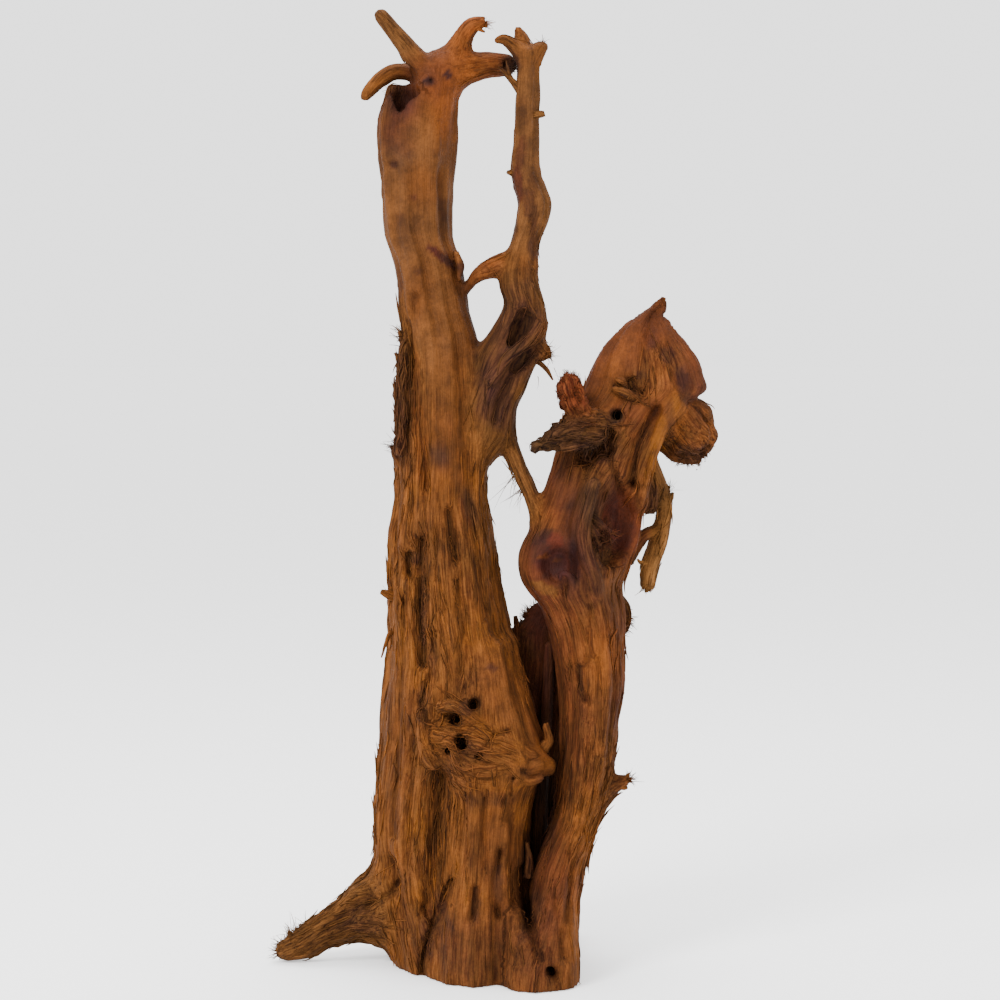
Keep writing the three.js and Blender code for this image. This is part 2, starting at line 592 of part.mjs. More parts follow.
// Draws the surface where the field is zero: each lattice cube is cut into six tetrahedra that share
// its long diagonal, which always gives one closed skin.
function drawSurface(field, box, step) {
  const size = box.getSize(new THREE.Vector3()).divideScalar(step).ceil();
  const [nx, ny, nz] = [size.x + 1, size.y + 1, size.z + 1];
  const values = new Float64Array(nx * ny * nz);
  const index = (i, j, k) => (k * ny + j) * nx + i;
  const place = (n) => [
    box.min.x + (n % nx) * step,
    box.min.y + (Math.floor(n / nx) % ny) * step,
    box.min.z + Math.floor(n / (nx * ny)) * step,
  ];
  for (let n = 0; n < values.length; n += 1) values[n] = field(...place(n));

  const positions = [];
  const made = new Map();
  const crossing = (a, b) => {
    const [low, high] = a < b ? [a, b] : [b, a];
    const key = low * values.length + high;
    if (!made.has(key)) {
      const t = THREE.MathUtils.clamp(values[low] / (values[low] - values[high]), 0.03, 0.97);
      const [p, q] = [place(low), place(high)];
      made.set(key, positions.length / 3);
      positions.push(...p.map((value, axis) => value + (q[axis] - value) * t));
    }
    return made.get(key);
  };

  const triangles = [];
  const cutTetrahedron = (corners) => {
    const wet = corners.filter((n) => values[n] < 0);
    if (wet.length === 0 || wet.length === 4) return;
    const dry = corners.filter((n) => values[n] >= 0);
    const order = [...wet, ...dry].map((n) => corners.indexOf(n));
    const pairs = [[0, 1], [0, 2], [0, 3], [1, 2], [1, 3], [2, 3]];
    const swaps = pairs.filter(([i, j]) => order[i] > order[j]).length;
    const [a, b, c, d] = order.map((n) => corners[n]);
    let ring;
    if (wet.length === 1) ring = [crossing(a, b), crossing(a, c), crossing(a, d)];
    else if (wet.length === 3) ring = [crossing(a, d), crossing(b, d), crossing(c, d)];
    else ring = [crossing(a, c), crossing(a, d), crossing(b, d), crossing(b, c)];
    if (swaps % 2) ring.reverse();
    triangles.push(ring[0], ring[1], ring[2]);
    if (ring.length === 4) triangles.push(ring[0], ring[2], ring[3]);
  };

  // Corner paths from one end of the long diagonal to the other, all turning the same way.
  const steps = [1, nx, nx * ny];
  const paths = [[0, 1, 2], [1, 2, 0], [2, 0, 1], [0, 2, 1], [2, 1, 0], [1, 0, 2]];
  for (let k = 0; k < nz - 1; k += 1) {
    for (let j = 0; j < ny - 1; j += 1) {
      for (let i = 0; i < nx - 1; i += 1) {
        const n = index(i, j, k);
        if (Math.abs(values[n]) > step * 8) continue;
        paths.forEach(([p, q, r], turn) => {
          const corners = [n, n + steps[p], n + steps[p] + steps[q], n + steps[p] + steps[q] + steps[r]];
          if (turn > 2) [corners[2], corners[3]] = [corners[3], corners[2]];
          cutTetrahedron(corners);
        });
      }
    }
  }
  return { positions, triangles };
}

// Thins a closed mesh by collapsing the edges whose loss changes its shape least.
function thin({ positions, triangles }, budget) {
  const count = positions.length / 3;
  const faces = [];
  const around = Array.from({ length: count }, () => new Set());
  for (let i = 0; i < triangles.length; i += 3) {
    const face = [triangles[i], triangles[i + 1], triangles[i + 2]];
    face.forEach((v) => around[v].add(faces.length));
    faces.push(face);
  }
  const points = Array.from({ length: count }, (_, v) => new THREE.Vector3().fromArray(positions, v * 3));
  const faceNormal = ([a, b, c]) => {
    const side = points[b].clone().sub(points[a]);
    return side.cross(points[c].clone().sub(points[a]));
  };

  // Each point's error is a symmetric 4 by 4 form, kept as its ten different numbers.
  const errors = points.map(() => new Float64Array(10));
  const addPlane = (form, n, d, weight) => {
    const row = [n.x, n.y, n.z, d];
    const products = row.flatMap((value, i) => row.slice(i).map((other) => value * other));
    products.forEach((product, slot) => {
      form[slot] += product * weight;
    });
  };
  for (const face of faces) {
    const normal = faceNormal(face);
    const area = normal.length() / 2;
    if (area < 1e-9) continue;
    normal.normalize();
    face.forEach((v) => addPlane(errors[v], normal, -normal.dot(points[face[0]]), area));
  }
  const errorOf = (q, p) =>
    q[0] * p.x * p.x + 2 * q[1] * p.x * p.y + 2 * q[2] * p.x * p.z + 2 * q[3] * p.x +
    q[4] * p.y * p.y + 2 * q[5] * p.y * p.z + 2 * q[6] * p.y +
    q[7] * p.z * p.z + 2 * q[8] * p.z + q[9];

  const bestPlace = (q, a, b) => {
    const soft = 1e-3 * (q[0] + q[4] + q[7]) + 1e-9;
    const middle = points[a].clone().add(points[b]).multiplyScalar(0.5);
    const matrix = new THREE.Matrix3().set(
      q[0] + soft, q[1], q[2], q[1], q[4] + soft, q[5], q[2], q[5], q[7] + soft,
    );
    const right = new THREE.Vector3(-q[3], -q[6], -q[8]).addScaledVector(middle, soft);
    const best = right.applyMatrix3(matrix.invert());
    const limit = points[a].distanceTo(points[b]) * 1.5;
    return best.distanceTo(middle) < limit ? best : middle;
  };

  const alive = new Uint8Array(count).fill(1);
  const stamp = new Uint32Array(count);
  const heap = [];
  const push = (item) => {
    let i = heap.push(item) - 1;
    while (i > 0) {
      const up = (i - 1) >> 1;
      if (heap[up].cost <= item.cost) break;
      heap[i] = heap[up];
      i = up;
    }
    heap[i] = item;
  };
  const pop = () => {
    const top = heap[0];
    const item = heap.pop();
    let i = 0;
    while (heap.length) {
      let child = 2 * i + 1;
      if (child >= heap.length) break;
      if (child + 1 < heap.length && heap[child + 1].cost < heap[child].cost) child += 1;
      if (heap[child].cost >= item.cost) break;
      heap[i] = heap[child];
      i = child;
    }
    if (heap.length) heap[i] = item;
    return top;
  };
  const offer = (a, b) => {
    const q = errors[a].map((value, i) => value + errors[b][i]);
    const place = bestPlace(q, a, b);
    push({ cost: Math.max(errorOf(q, place), 0), a, b, place, stamps: stamp[a] + stamp[b], q });
  };
  const neighbours = (v) => {
    const found = new Set();
    around[v].forEach((f) => faces[f].forEach((w) => w !== v && found.add(w)));
    return found;
  };
  // A collapse is refused if it would pinch the skin or turn a face over.
  const allowed = (a, b, place) => {
    const near = neighbours(a);
    const shared = [...neighbours(b)].filter((v) => near.has(v)).length;
    if (shared !== 2) return false;
    for (const v of [a, b]) {
      for (const f of around[v]) {
        const face = faces[f];
        if (face.includes(a) && face.includes(b)) continue;
        const before = faceNormal(face).normalize();
        const kept = points[v];
        points[v] = place;
        const after = faceNormal(face);
        points[v] = kept;
        const length = after.length();
        const sides = face.map((w, i) => points[w].distanceToSquared(points[face[(i + 1) % 3]]));
        const longest = Math.max(...sides);
        if (length < 0.03 * longest || after.dot(before) < 0.35 * length) return false;
      }
    }
    return true;
  };

  for (const [a, b, c] of faces) {
    if (a < b) offer(a, b);
    if (b < c) offer(b, c);
    if (c < a) offer(c, a);
  }
  let left = faces.length;
  const dead = new Uint8Array(faces.length);
  while (left > budget && heap.length) {
    const { a, b, place, stamps, q } = pop();
    if (!alive[a] || !alive[b] || stamp[a] + stamp[b] !== stamps || !allowed(a, b, place)) continue;
    for (const f of around[b]) {
      if (faces[f].includes(a)) {
        dead[f] = 1;
        left -= 1;
        faces[f].forEach((v) => v !== b && around[v].delete(f));
      } else {
        faces[f][faces[f].indexOf(b)] = a;
        around[a].add(f);
      }
    }
    around[b].clear();
    alive[b] = 0;
    points[a] = place;
    errors[a] = q;
    stamp[a] += 1;
    neighbours(a).forEach((v) => offer(a, v));
  }
  return { points, faces: faces.filter((_, f) => !dead[f]) };
}

function meshOf(points, faces) {
  const geometry = new THREE.BufferGeometry();
  const flat = faces.flat().flatMap((v) => points[v].toArray());
  geometry.setAttribute('position', new THREE.Float32BufferAttribute(flat, 3));
  return mergeVertices(geometry, 1e-4);
}

// A tapered stick with flat ends.
function twigGeometry(points, sides) {
  const curve = new THREE.CatmullRomCurve3(points.map(([x, y, z]) => new THREE.Vector3(x, y, z)));
  const rings = (points.length - 1) * 2;
  const corners = [];
  let across = new THREE.Vector3(0, 1, 0);
  for (let i = 0; i <= rings; i += 1) {
    const along = curve.getTangent(i / rings);
    across = across.clone().addScaledVector(along, -across.dot(along)).normalize();
    const over = new THREE.Vector3().crossVectors(along, across);
    const at = i / 2;
    const j = Math.min(Math.floor(at), points.length - 2);
    const radius = THREE.MathUtils.lerp(points[j][3], points[j + 1][3], at - j);
    for (let s = 0; s < sides; s += 1) {
      const turn = (2 * Math.PI * s) / sides;
      corners.push(
        curve.getPoint(i / rings)
          .addScaledVector(across, radius * Math.cos(turn))
          .addScaledVector(over, radius * Math.sin(turn)),
      );
    }
  }
  const faces = [];
  for (let i = 0; i < rings; i += 1) {
    for (let s = 0; s < sides; s += 1) {
      const [a, b] = [i * sides + s, i * sides + ((s + 1) % sides)];
      faces.push([a, b, b + sides], [a, b + sides, a + sides]);
    }
  }
  const last = rings * sides;
  for (let s = 1; s < sides - 1; s += 1) {
    faces.push([0, s + 1, s], [last, last + s, last + s + 1]);
  }
  return meshOf(corners, faces);
}

const wasm = await Module();
wasm.setup();

function solidOf(geometry) {
  const g = geometry.clone();
  g.deleteAttribute('normal');
  g.deleteAttribute('uv');
  const merged = mergeVertices(g, 1e-4);
  return new wasm.Manifold(
    new wasm.Mesh({
      numProp: 3,
      vertProperties: merged.attributes.position.array,
      triVerts: new Uint32Array(merged.index.array),
    }),
  );
}

function geometryOf(solid) {
  const mesh = solid.getMesh();
  const geometry = new THREE.BufferGeometry();
  geometry.setAttribute('position', new THREE.Float32BufferAttribute(mesh.vertProperties, 3));
  geometry.setIndex(new THREE.Uint32BufferAttribute(mesh.triVerts, 1));
  return geometry;
}

// The body, with its twigs fused in and its foot cut flat at the ground.
function buildWood() {
  const { points, faces } = thin(drawSurface(wood, DRAW_BOX, GRID_STEP), FACE_BUDGET);
  let solid = solidOf(meshOf(points, faces));
  for (const twig of Object.values(TWIGS)) solid = solid.add(solidOf(twigGeometry(twig, TWIG_SIDES)));
  const size = DRAW_BOX.getSize(new THREE.Vector3());
  const ground = new THREE.BoxGeometry(size.x * 2, size.y * 2, HEIGHT);
  ground.translate(0, 0, -HEIGHT / 2);
  const sky = ground.clone().translate(0, 0, HEIGHT * 2);
  const cut = solid.subtract(solidOf(ground)).subtract(solidOf(sky));
  return cut.decompose().sort((a, b) => b.volume() - a.volume())[0];
}

const driftwood = new THREE.Mesh(
  geometryOf(buildWood()),
  new THREE.MeshStandardMaterial({ color: 0x8a5530, roughness: 0.75, metalness: 0 }),
);
driftwood.name = 'driftwood';

const part = new THREE.Group();
part.add(driftwood);
export default part;
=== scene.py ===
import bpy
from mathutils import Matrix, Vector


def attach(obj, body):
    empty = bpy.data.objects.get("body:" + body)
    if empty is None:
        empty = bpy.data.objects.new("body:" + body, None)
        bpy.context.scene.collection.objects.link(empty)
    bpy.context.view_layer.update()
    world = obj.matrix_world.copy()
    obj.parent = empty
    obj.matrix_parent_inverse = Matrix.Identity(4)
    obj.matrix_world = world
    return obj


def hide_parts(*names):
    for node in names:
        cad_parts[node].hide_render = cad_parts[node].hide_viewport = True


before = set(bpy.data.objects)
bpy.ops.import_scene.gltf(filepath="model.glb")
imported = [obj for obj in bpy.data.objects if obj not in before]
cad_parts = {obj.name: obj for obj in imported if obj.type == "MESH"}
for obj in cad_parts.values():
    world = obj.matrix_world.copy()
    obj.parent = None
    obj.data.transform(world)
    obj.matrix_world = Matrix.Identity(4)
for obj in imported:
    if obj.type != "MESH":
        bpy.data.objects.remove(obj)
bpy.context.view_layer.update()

import math

import bpy
import numpy as np
import openvdb

# The wood is one grown form, drawn here again at a fine scale from the same stems, limbs, hollows and
# furrows as the solid, with its grain, cracks, knots and hairs. Tables are in millimetres and the
# meshes are scaled to metres at the end.
MM = 0.001
VOXEL = 2.05  # spacing of the lattice that the skin is drawn on
BAND = 14  # how far from its own surface a form still shapes the wood
DEEPEST, HIGHEST = -3.2, 2.2  # limits of the weathered relief
FRONT_DEPTH = 22  # stains of the front reach this far back
CRISP_SIZE = 5  # stains up to this half width have a clear edge
RIM = 3.5  # how far the painted shade of a hollow fades out from its wall
FRONT, BACK = -1, 1  # the way a furrow faces along y
FIBRES = 2600
rng = np.random.default_rng(20240611)

# Stems: (blend, flute, top, sections), each section (height, left x, right x, centre y, half depth).
STEMS = {
    "left_stem": (0, 1.6, 564, [
        (-30, -65, 22, 11, 58), (10, -69.5, 20, 9, 56), (40, -75, 14, 7, 52), (70, -79, 12, 8, 49),
        (100, -78.5, 10, 8, 46), (140, -74.5, 16, 8, 45), (170, -73, 17, 7, 43), (200, -69.5, 9.5, 7, 41),
        (240, -70.5, 1.5, 7, 38), (280, -68.5, -4.5, 7, 35), (300, -65, -8.5, 7, 33),
        (340, -63.5, -9, 6, 30), (380, -61, -12, 6, 27), (404, -62, -14, 6, 25),
        (420, -63.5, -18.5, 6, 24), (450, -66.8, -24.5, 5, 22.5), (470, -73, -30, 4, 22),
        (500, -74.5, -30.3, 3, 22), (530, -77, -29, 3, 21.5), (545, -76, -29, 3, 20.5),
        (560, -71, -29, 3, 19), (572, -68.5, -29, 3, 17),
    ]),
    "front_buttress": (14, 1.8, 208, [
        (-30, -46, 24, -22, 51), (20, -43, 20, -21, 46), (60, -37, 17, -19, 41), (90, -33, 16, -18, 38),
        (115, -33, 21, -19, 37), (135, -40, 29, -20, 37), (160, -38, 23, -15, 34), (185, -30, 14, -8, 30),
        (215, -22, 4, 0, 22),
    ]),
    "right_stem": (6, 1.3, 429.5, [
        (-30, 0, 50, -40, 47), (10, 5, 48.5, -38, 44), (40, 17, 49, -33, 38), (70, 26, 53, -26, 33),
        (100, 38, 63, -19, 30), (125, 41, 70, -15, 28), (150, 42, 74, -13, 27), (180, 41, 78, -12, 26),
        (210, 36, 79, -12, 26), (232, 28, 79, -12, 26), (246, 18, 77, -12, 26),
        (260, 13.5, 82.5, -12, 27), (272, 16, 87, -11, 26), (284, 22, 90, -9, 24),
        (300, 28.5, 92, -7, 22), (320, 35.5, 96, -5, 20), (340, 41, 103, -3, 19),
        (358, 47, 118, -1, 18.5), (370, 53.5, 133, 1, 17.5), (380, 57.5, 131.5, 2, 16.5),
        (390, 62, 128, 3, 15), (400, 67.5, 120.5, 4, 12.5), (410, 77.5, 112.5, 5, 9.5),
        (418, 88, 107, 6, 6.5), (424, 98, 107, 6, 4.5), (430, 104, 107.5, 6, 2.5),
    ]),
    "rising_arm": (9, 0.7, 587, [
        (318, -30, -10, 2, 12), (340, -26, 8, 0, 16), (360, -24, 12.6, -1, 19), (372, -21, 18.5, -2, 20),
        (384, -17, 23, -2, 20), (395, -14, 28.5, -3, 19), (410, -4.5, 30.8, -4, 17),
        (425, 2.6, 29.5, -4, 14.5), (436, 0, 26.5, -4, 13), (446, 1, 24.2, -4, 11.5),
        (465, 7.5, 26, -4, 10), (478, 10.5, 31, -5, 10), (489, 12, 33, -5, 10), (500, 9.3, 29, -5, 9.5),
        (510, 7.8, 25.6, -5, 9), (530, 9.8, 24.6, -6, 8), (560, 11.2, 25, -8, 7.5),
        (575, 12, 25, -9, 7.5), (588, 12, 28, -9, 7),
    ]),
    "back_wall": (6, 0.5, 233, [
        (-30, -10, 44, 20, 24), (40, -8, 46, 22, 15), (90, -6, 54, 24, 9), (150, -2, 64, 25, 7.5),
        (200, 6, 66, 22, 6.5), (214, 9, 62, 20, 6), (226, 19, 58, 17, 5.5), (236, 27, 54, 14, 5),
    ]),
}

# Limbs: (blend, points), each point (x, y, z, radius in the front view, radius in depth). The last is
# left out where both radii are the same.
LIMBS = {
    "front_root": (14, [(-136, 2, 7.5, 7, 8), (-126, 2, 12, 9), (-113, 2, 20, 10, 10.5),
        (-102, 3, 24.5, 13, 12), (-91, 4, 29.5, 17, 14), (-78, 5, 34, 23, 19), (-58, 5, 38, 27, 26)]),
    "toe_right": (9, [(36, -60, -12, 14, 19), (36, -58, 14, 12.5, 17), (37, -50, 42, 9, 12)]),
    "toe_middle": (9, [(15, -62, -12, 11, 18), (14, -60, 12, 10, 16), (12, -50, 40, 8, 12)]),
    "rear_root": (18, [(-40, 112, 7, 8, 9), (-38, 100, 13, 11), (-34, 84, 22, 15, 14),
        (-28, 66, 34, 20, 18), (-22, 42, 48, 27, 22)]),
    "rear_spur": (14, [(44, 78, 6, 8, 9), (40, 64, 12, 11), (34, 46, 22, 16, 15), (26, 24, 34, 22, 20)]),
    "crown": (6, [(-46, 2, 520, 14, 17), (-42, 0, 545, 13, 16), (-39, -2, 560, 12.5, 15),
        (-37.5, -2, 571, 11.5, 13)]),
    "up_stub": (6, [(-42, -3, 568, 9.5, 9), (-50, -7, 577, 7.6, 7.5), (-58, -10, 587.5, 5.8, 6),
        (-66.5, -13, 597.5, 4.9, 5), (-73.5, -15, 605.8, 4.3, 4.4)]),
    "left_hook": (5, [(-44, 6, 569, 7), (-58, 6, 572.8, 4.8, 5.5), (-68, 5, 572.3, 4.6, 5),
        (-76, 3, 567, 4.6), (-82, 1, 560.5, 4), (-84.5, 0, 557.5, 3.2)]),
    "top_stub": (8, [(-34, -2, 573, 10.5, 11), (-26.5, -3, 586, 7.4, 7.5), (-21.5, -4, 596, 5.4),
        (-17, -5, 601, 4.8), (-12, -6, 602.5, 3.6)]),
    "right_stub": (8, [(-34, -1, 571, 12), (-19, 0, 574.5, 9.4, 10), (-8, 2, 576.8, 8.2, 8.6),
        (0, 4, 577, 7.4, 7.6), (4.6, 5, 577.3, 6.6, 7)]),
    "arm_hook": (6, [(14, -4, 449, 9), (3, -5, 450, 7.6, 7.5), (-5, -6, 447.5, 6),
        (-11.5, -6, 444.5, 4.5, 4.7), (-16, -5, 440.5, 3.3), (-19.5, -2, 435.5, 2.4),
        (-24, 3, 431, 2.4)]),
    "tie_root": (7, [(-4, -1, 356, 10, 12), (3, -2, 342, 7, 8), (9.5, -3, 329, 5.2, 5.6),
        (15, -4, 316.5, 4.6, 4.8), (20.5, -6, 304, 4.7, 4.8), (26, -8, 292, 6), (34, -9, 280, 9, 8)]),
    "crown_hook": (3, [(16, -9, 581, 5.5, 5), (8.5, -11, 588.5, 3.8, 3.6), (3, -12, 592, 2.8),
        (-0.5, -12, 591.3, 2.2)]),
    "crown_peak": (3, [(17, -7, 584, 5.5), (14.5, -6, 592, 4.2), (12.3, -6, 598, 2.3)]),
    "crown_knob": (3, [(22, -8, 580, 5), (26, -9, 586, 4.4, 5), (28, -9, 587, 3.2, 3.5)]),
    "neck_rib": (5, [(76, -14, 336, 9), (67, -20, 322, 7.5, 8), (59, -25, 308, 5.8, 8),
        (53.5, -29, 294, 5.6, 8), (52, -31, 280, 6.8, 8.5), (55, -30, 266, 8.5, 9), (60, -27, 251, 9),
        (64, -20, 234, 9)]),
    "head_rib": (7, [(112, -8, 364, 7, 9), (103, -12, 350, 5.6, 8), (97, -13, 335, 5, 8),
        (91, -13, 318, 5, 8), (88, -12, 300, 5, 8)]),
    "dark_claw": (5, [(64, -18, 344, 12, 11), (52, -24, 345, 11.5, 10), (43, -29, 343.5, 8.5, 8),
        (35, -32, 339.5, 5.4), (28, -34, 336.8, 3.4, 3.6), (23.5, -35, 335, 2.6, 2.8)]),
    "frayed_stub": (5, [(57, -16, 346, 9), (51, -24, 357, 7.4), (46.5, -28, 367, 6.8),
        (44.5, -29, 374.5, 5.8)]),
    "lobe": (9, [(104, 5, 360, 13, 9), (112, 8, 351, 16, 8.5), (119, 10, 343.5, 19, 7.5),
        (121, 11, 341.5, 18.4, 7)]),
    "lobe_corner": (5, [(120, 9, 351, 9, 6.5), (130, 11, 354, 6.6, 5.5)]),
    "strip": (3, [(94, 6, 328, 6, 7), (100, 11, 317, 5.2, 6), (104.5, 13, 306, 5), (107, 14, 294, 5, 4),
        (105, 14, 280, 5, 3.8), (102, 14, 267, 5.4, 3.8), (97.5, 13, 255, 5.6, 3.6),
        (96, 12, 245, 4.4, 3)]),
    "strip_web": (4, [(92, 6, 318, 7, 6), (96, 9, 306, 7, 5), (96, 9, 297, 6, 4.5)]),
    "strip_bridge": (4, [(82, 2, 263, 6), (89, 6, 271.5, 4.6), (96, 10, 278, 3.4), (102, 13, 279, 3.2)]),
    "side_stub": (9, [(58, -10, 108, 11), (69, -13, 116, 7), (76, -15, 119.5, 4.8, 5),
        (80, -16, 121, 3.6, 4)]),
    "burl_knob": (7, [(8, -36, 138, 12, 10), (22, -34, 135, 9), (30, -31, 133, 6, 7)]),
    "burl_mass": (6, [(-33, -31, 150, 13), (-14, -45, 147, 15, 14), (4, -44, 140, 12, 13)]),
    "burl_rim": (7, [(-36, -34, 140, 7), (-24, -44, 133, 8), (-8, -47, 130, 8), (8, -44, 131, 8)]),
    "burl_ridge": (5, [(-22, -40, 168, 5, 6), (-14, -44, 160, 4.5, 5), (-5, -44, 152, 4.5, 5),
        (4, -42, 146, 6)]),
    "arm_ridge": (4, [(26, -14, 412, 4.5, 5), (20, -18, 403, 4, 5), (12, -20, 396, 3.6, 4.6),
        (4, -21, 389, 3.6, 4.6), (-4, -20, 378, 4, 5)]),
    "bark_flap": (4, [(-59, -2, 398, 3.2, 8), (-61, -3, 380, 3.4, 10), (-61.2, -3, 355, 3.6, 12),
        (-62.5, -2, 332, 3.6, 11)]),
    "side_flake": (3, [(76, 2, 236, 4, 5), (80, 1, 230, 4, 8), (80, 0, 221, 4, 8), (76, 0, 214, 4, 5)]),
    "back_knot": (10, [(-46, 26, 190, 16, 14), (-50, 44, 196, 9), (-53, 53, 199, 6.5)]),
    "back_stub": (7, [(-40, 18, 452, 9), (-38, 30, 460, 6.5), (-36, 38, 467, 5)]),
    "back_ridge": (9, [(-30, 38, 60, 13), (-22, 40, 120, 11), (-24, 34, 190, 9, 10),
        (-34, 28, 270, 8, 9)]),
    "head_back": (8, [(88, 12, 352, 16, 12), (84, 16, 330, 13, 11), (74, 14, 300, 12)]),
}

# Hollows, taken out of the wood, in the same terms.
HOLLOWS = {
    "stem_top_hollow": (2.5, [(-60, -10, 568, 9), (-60, -6, 556, 7.5, 9), (-59, -4, 546, 4, 5)]),
    "eye": (4, [(33, -43, 270, 12), (35, -39, 261, 14.5, 14), (38, -40, 250, 10)]),
    "neck_hollow": (5, [(80, -31, 304, 10, 13), (78, -28, 291, 13.5, 15), (75, -28, 279, 12.5, 14.5),
        (71, -31, 267, 8, 10)]),
    "head_hole": (1.2, [(74, -24, 356.5, 4), (76, -14, 354, 3.6), (78, -6, 352, 2.4)]),
    "claw_pit": (2, [(70, -24, 342, 5.5, 7), (64, -20, 337, 6, 7), (56, -19, 329, 6.5, 7)]),
    "burl_hole_high": (1.5, [(-17, -52, 175, 3.4, 4), (-16, -36, 173, 3.2, 4),
        (-15, -26, 170, 2.2, 2.4)]),
    "burl_hole_left": (2, [(-28, -54, 166, 4.6, 4), (-27, -38, 164, 4.2, 4), (-25, -28, 161, 2.6, 3)]),
    "burl_hole_low": (1.5, [(-23, -58, 151, 4), (-20, -42, 146, 3.6, 4), (-17, -34, 142, 3)]),
    "burl_hole_small": (1, [(-32, -56, 146, 2.6, 3), (-31, -38, 145, 2.2, 3)]),
    "arm_pit": (3, [(20, -26, 425, 6.5, 8), (16, -24, 416, 6.5, 7), (12, -23, 406, 4, 5)]),
    "arm_under_pit": (3, [(20, -27, 394, 5.5, 7), (12, -27, 384, 5.5, 6), (6, -27, 372, 4, 5)]),
    "flank_pit": (3, [(-66, -22, 372, 4, 8), (-66, -22, 350, 4.5, 9), (-66, -20, 330, 4, 7)]),
    "root_seam": (4, [(-84, -13, 45, 4, 5), (-98, -10, 33, 3.4, 4.5), (-110, -8, 24, 2, 3)]),
    "back_hollow": (5, [(-2, 66, 96, 9, 14), (-4, 62, 70, 10, 14), (-6, 66, 48, 7, 10)]),
    "back_slot": (2, [(-52, 48, 330, 3, 10), (-50, 46, 300, 3.6, 9), (-50, 50, 272, 2.6, 8)]),
}

# Furrows, and ridges where the depth is negative: (path in x and z, width, depth, y reach).
FRONT_FURROWS = [
    ([(-36, 128), (-38, 108), (-40, 88), (-41, 66), (-43, 44)], 6.5, 8, -18),
    ([(-29, 62), (-35, 48), (-42, 32), (-47, 14), (-48, 2)], 2.6, 6, -10),
    ([(-15, 60), (-15, 52), (-16, 42)], 2.2, 5.5, -20),
    ([(1, 82), (-3, 66), (-4, 54), (0, 42)], 2.2, 2.6, -20),
    ([(-48, 276), (-48, 250), (-48.5, 225), (-47, 198)], 3.6, 6.5, 0),
    ([(-41, 216), (-40, 204), (-42, 190), (-48, 172)], 3, 4.5, 0),
    ([(-32, 294), (-30, 280), (-27, 264)], 3, 5, 0),
    ([(-52, 430), (-54, 400), (-50, 370), (-49, 340), (-45, 310)], 3.2, 3.2, 2),
    ([(-57, 266), (-56, 254)], 3.4, 7, 0),
    ([(52, 196), (52, 186), (55, 176)], 2.4, 4.5, -14),
    ([(62, 200), (64, 170), (60, 130), (54, 96)], 4, 3, -16),
    ([(56, 158), (60, 150), (64, 144)], 5, -3.5, -16),
    ([(14, 66), (16, 50), (22, 34), (26, 20)], 3.4, 7, -20),
    ([(32, 12), (34, 9)], 3, 7, -30),
    ([(-66, 70), (-62, 50), (-56, 30)], 4, 4, 0),
    ([(-60, 560), (-62, 540), (-58, 520)], 5, 2.5, 0),
    ([(84, 376), (86, 371), (91, 369)], 2.6, 5, -4),
    ([(96, 404), (108, 392), (116, 376), (120, 364)], 4, 2.6, 0),
]
BACK_FURROWS = [
    ([(-44, 30), (-50, 90), (-56, 150), (-54, 220)], 6, 7, 12),
    ([(6, 30), (8, 90), (4, 150), (-10, 230), (-26, 330)], 6, 6, 12),
    ([(-60, 250), (-58, 320), (-54, 400), (-60, 480)], 5, 4, 8),
    ([(60, 60), (58, 120), (66, 190), (60, 260)], 5, 4.5, 2),
    ([(96, 400), (92, 370), (84, 340)], 5, 3.5, 8),
]

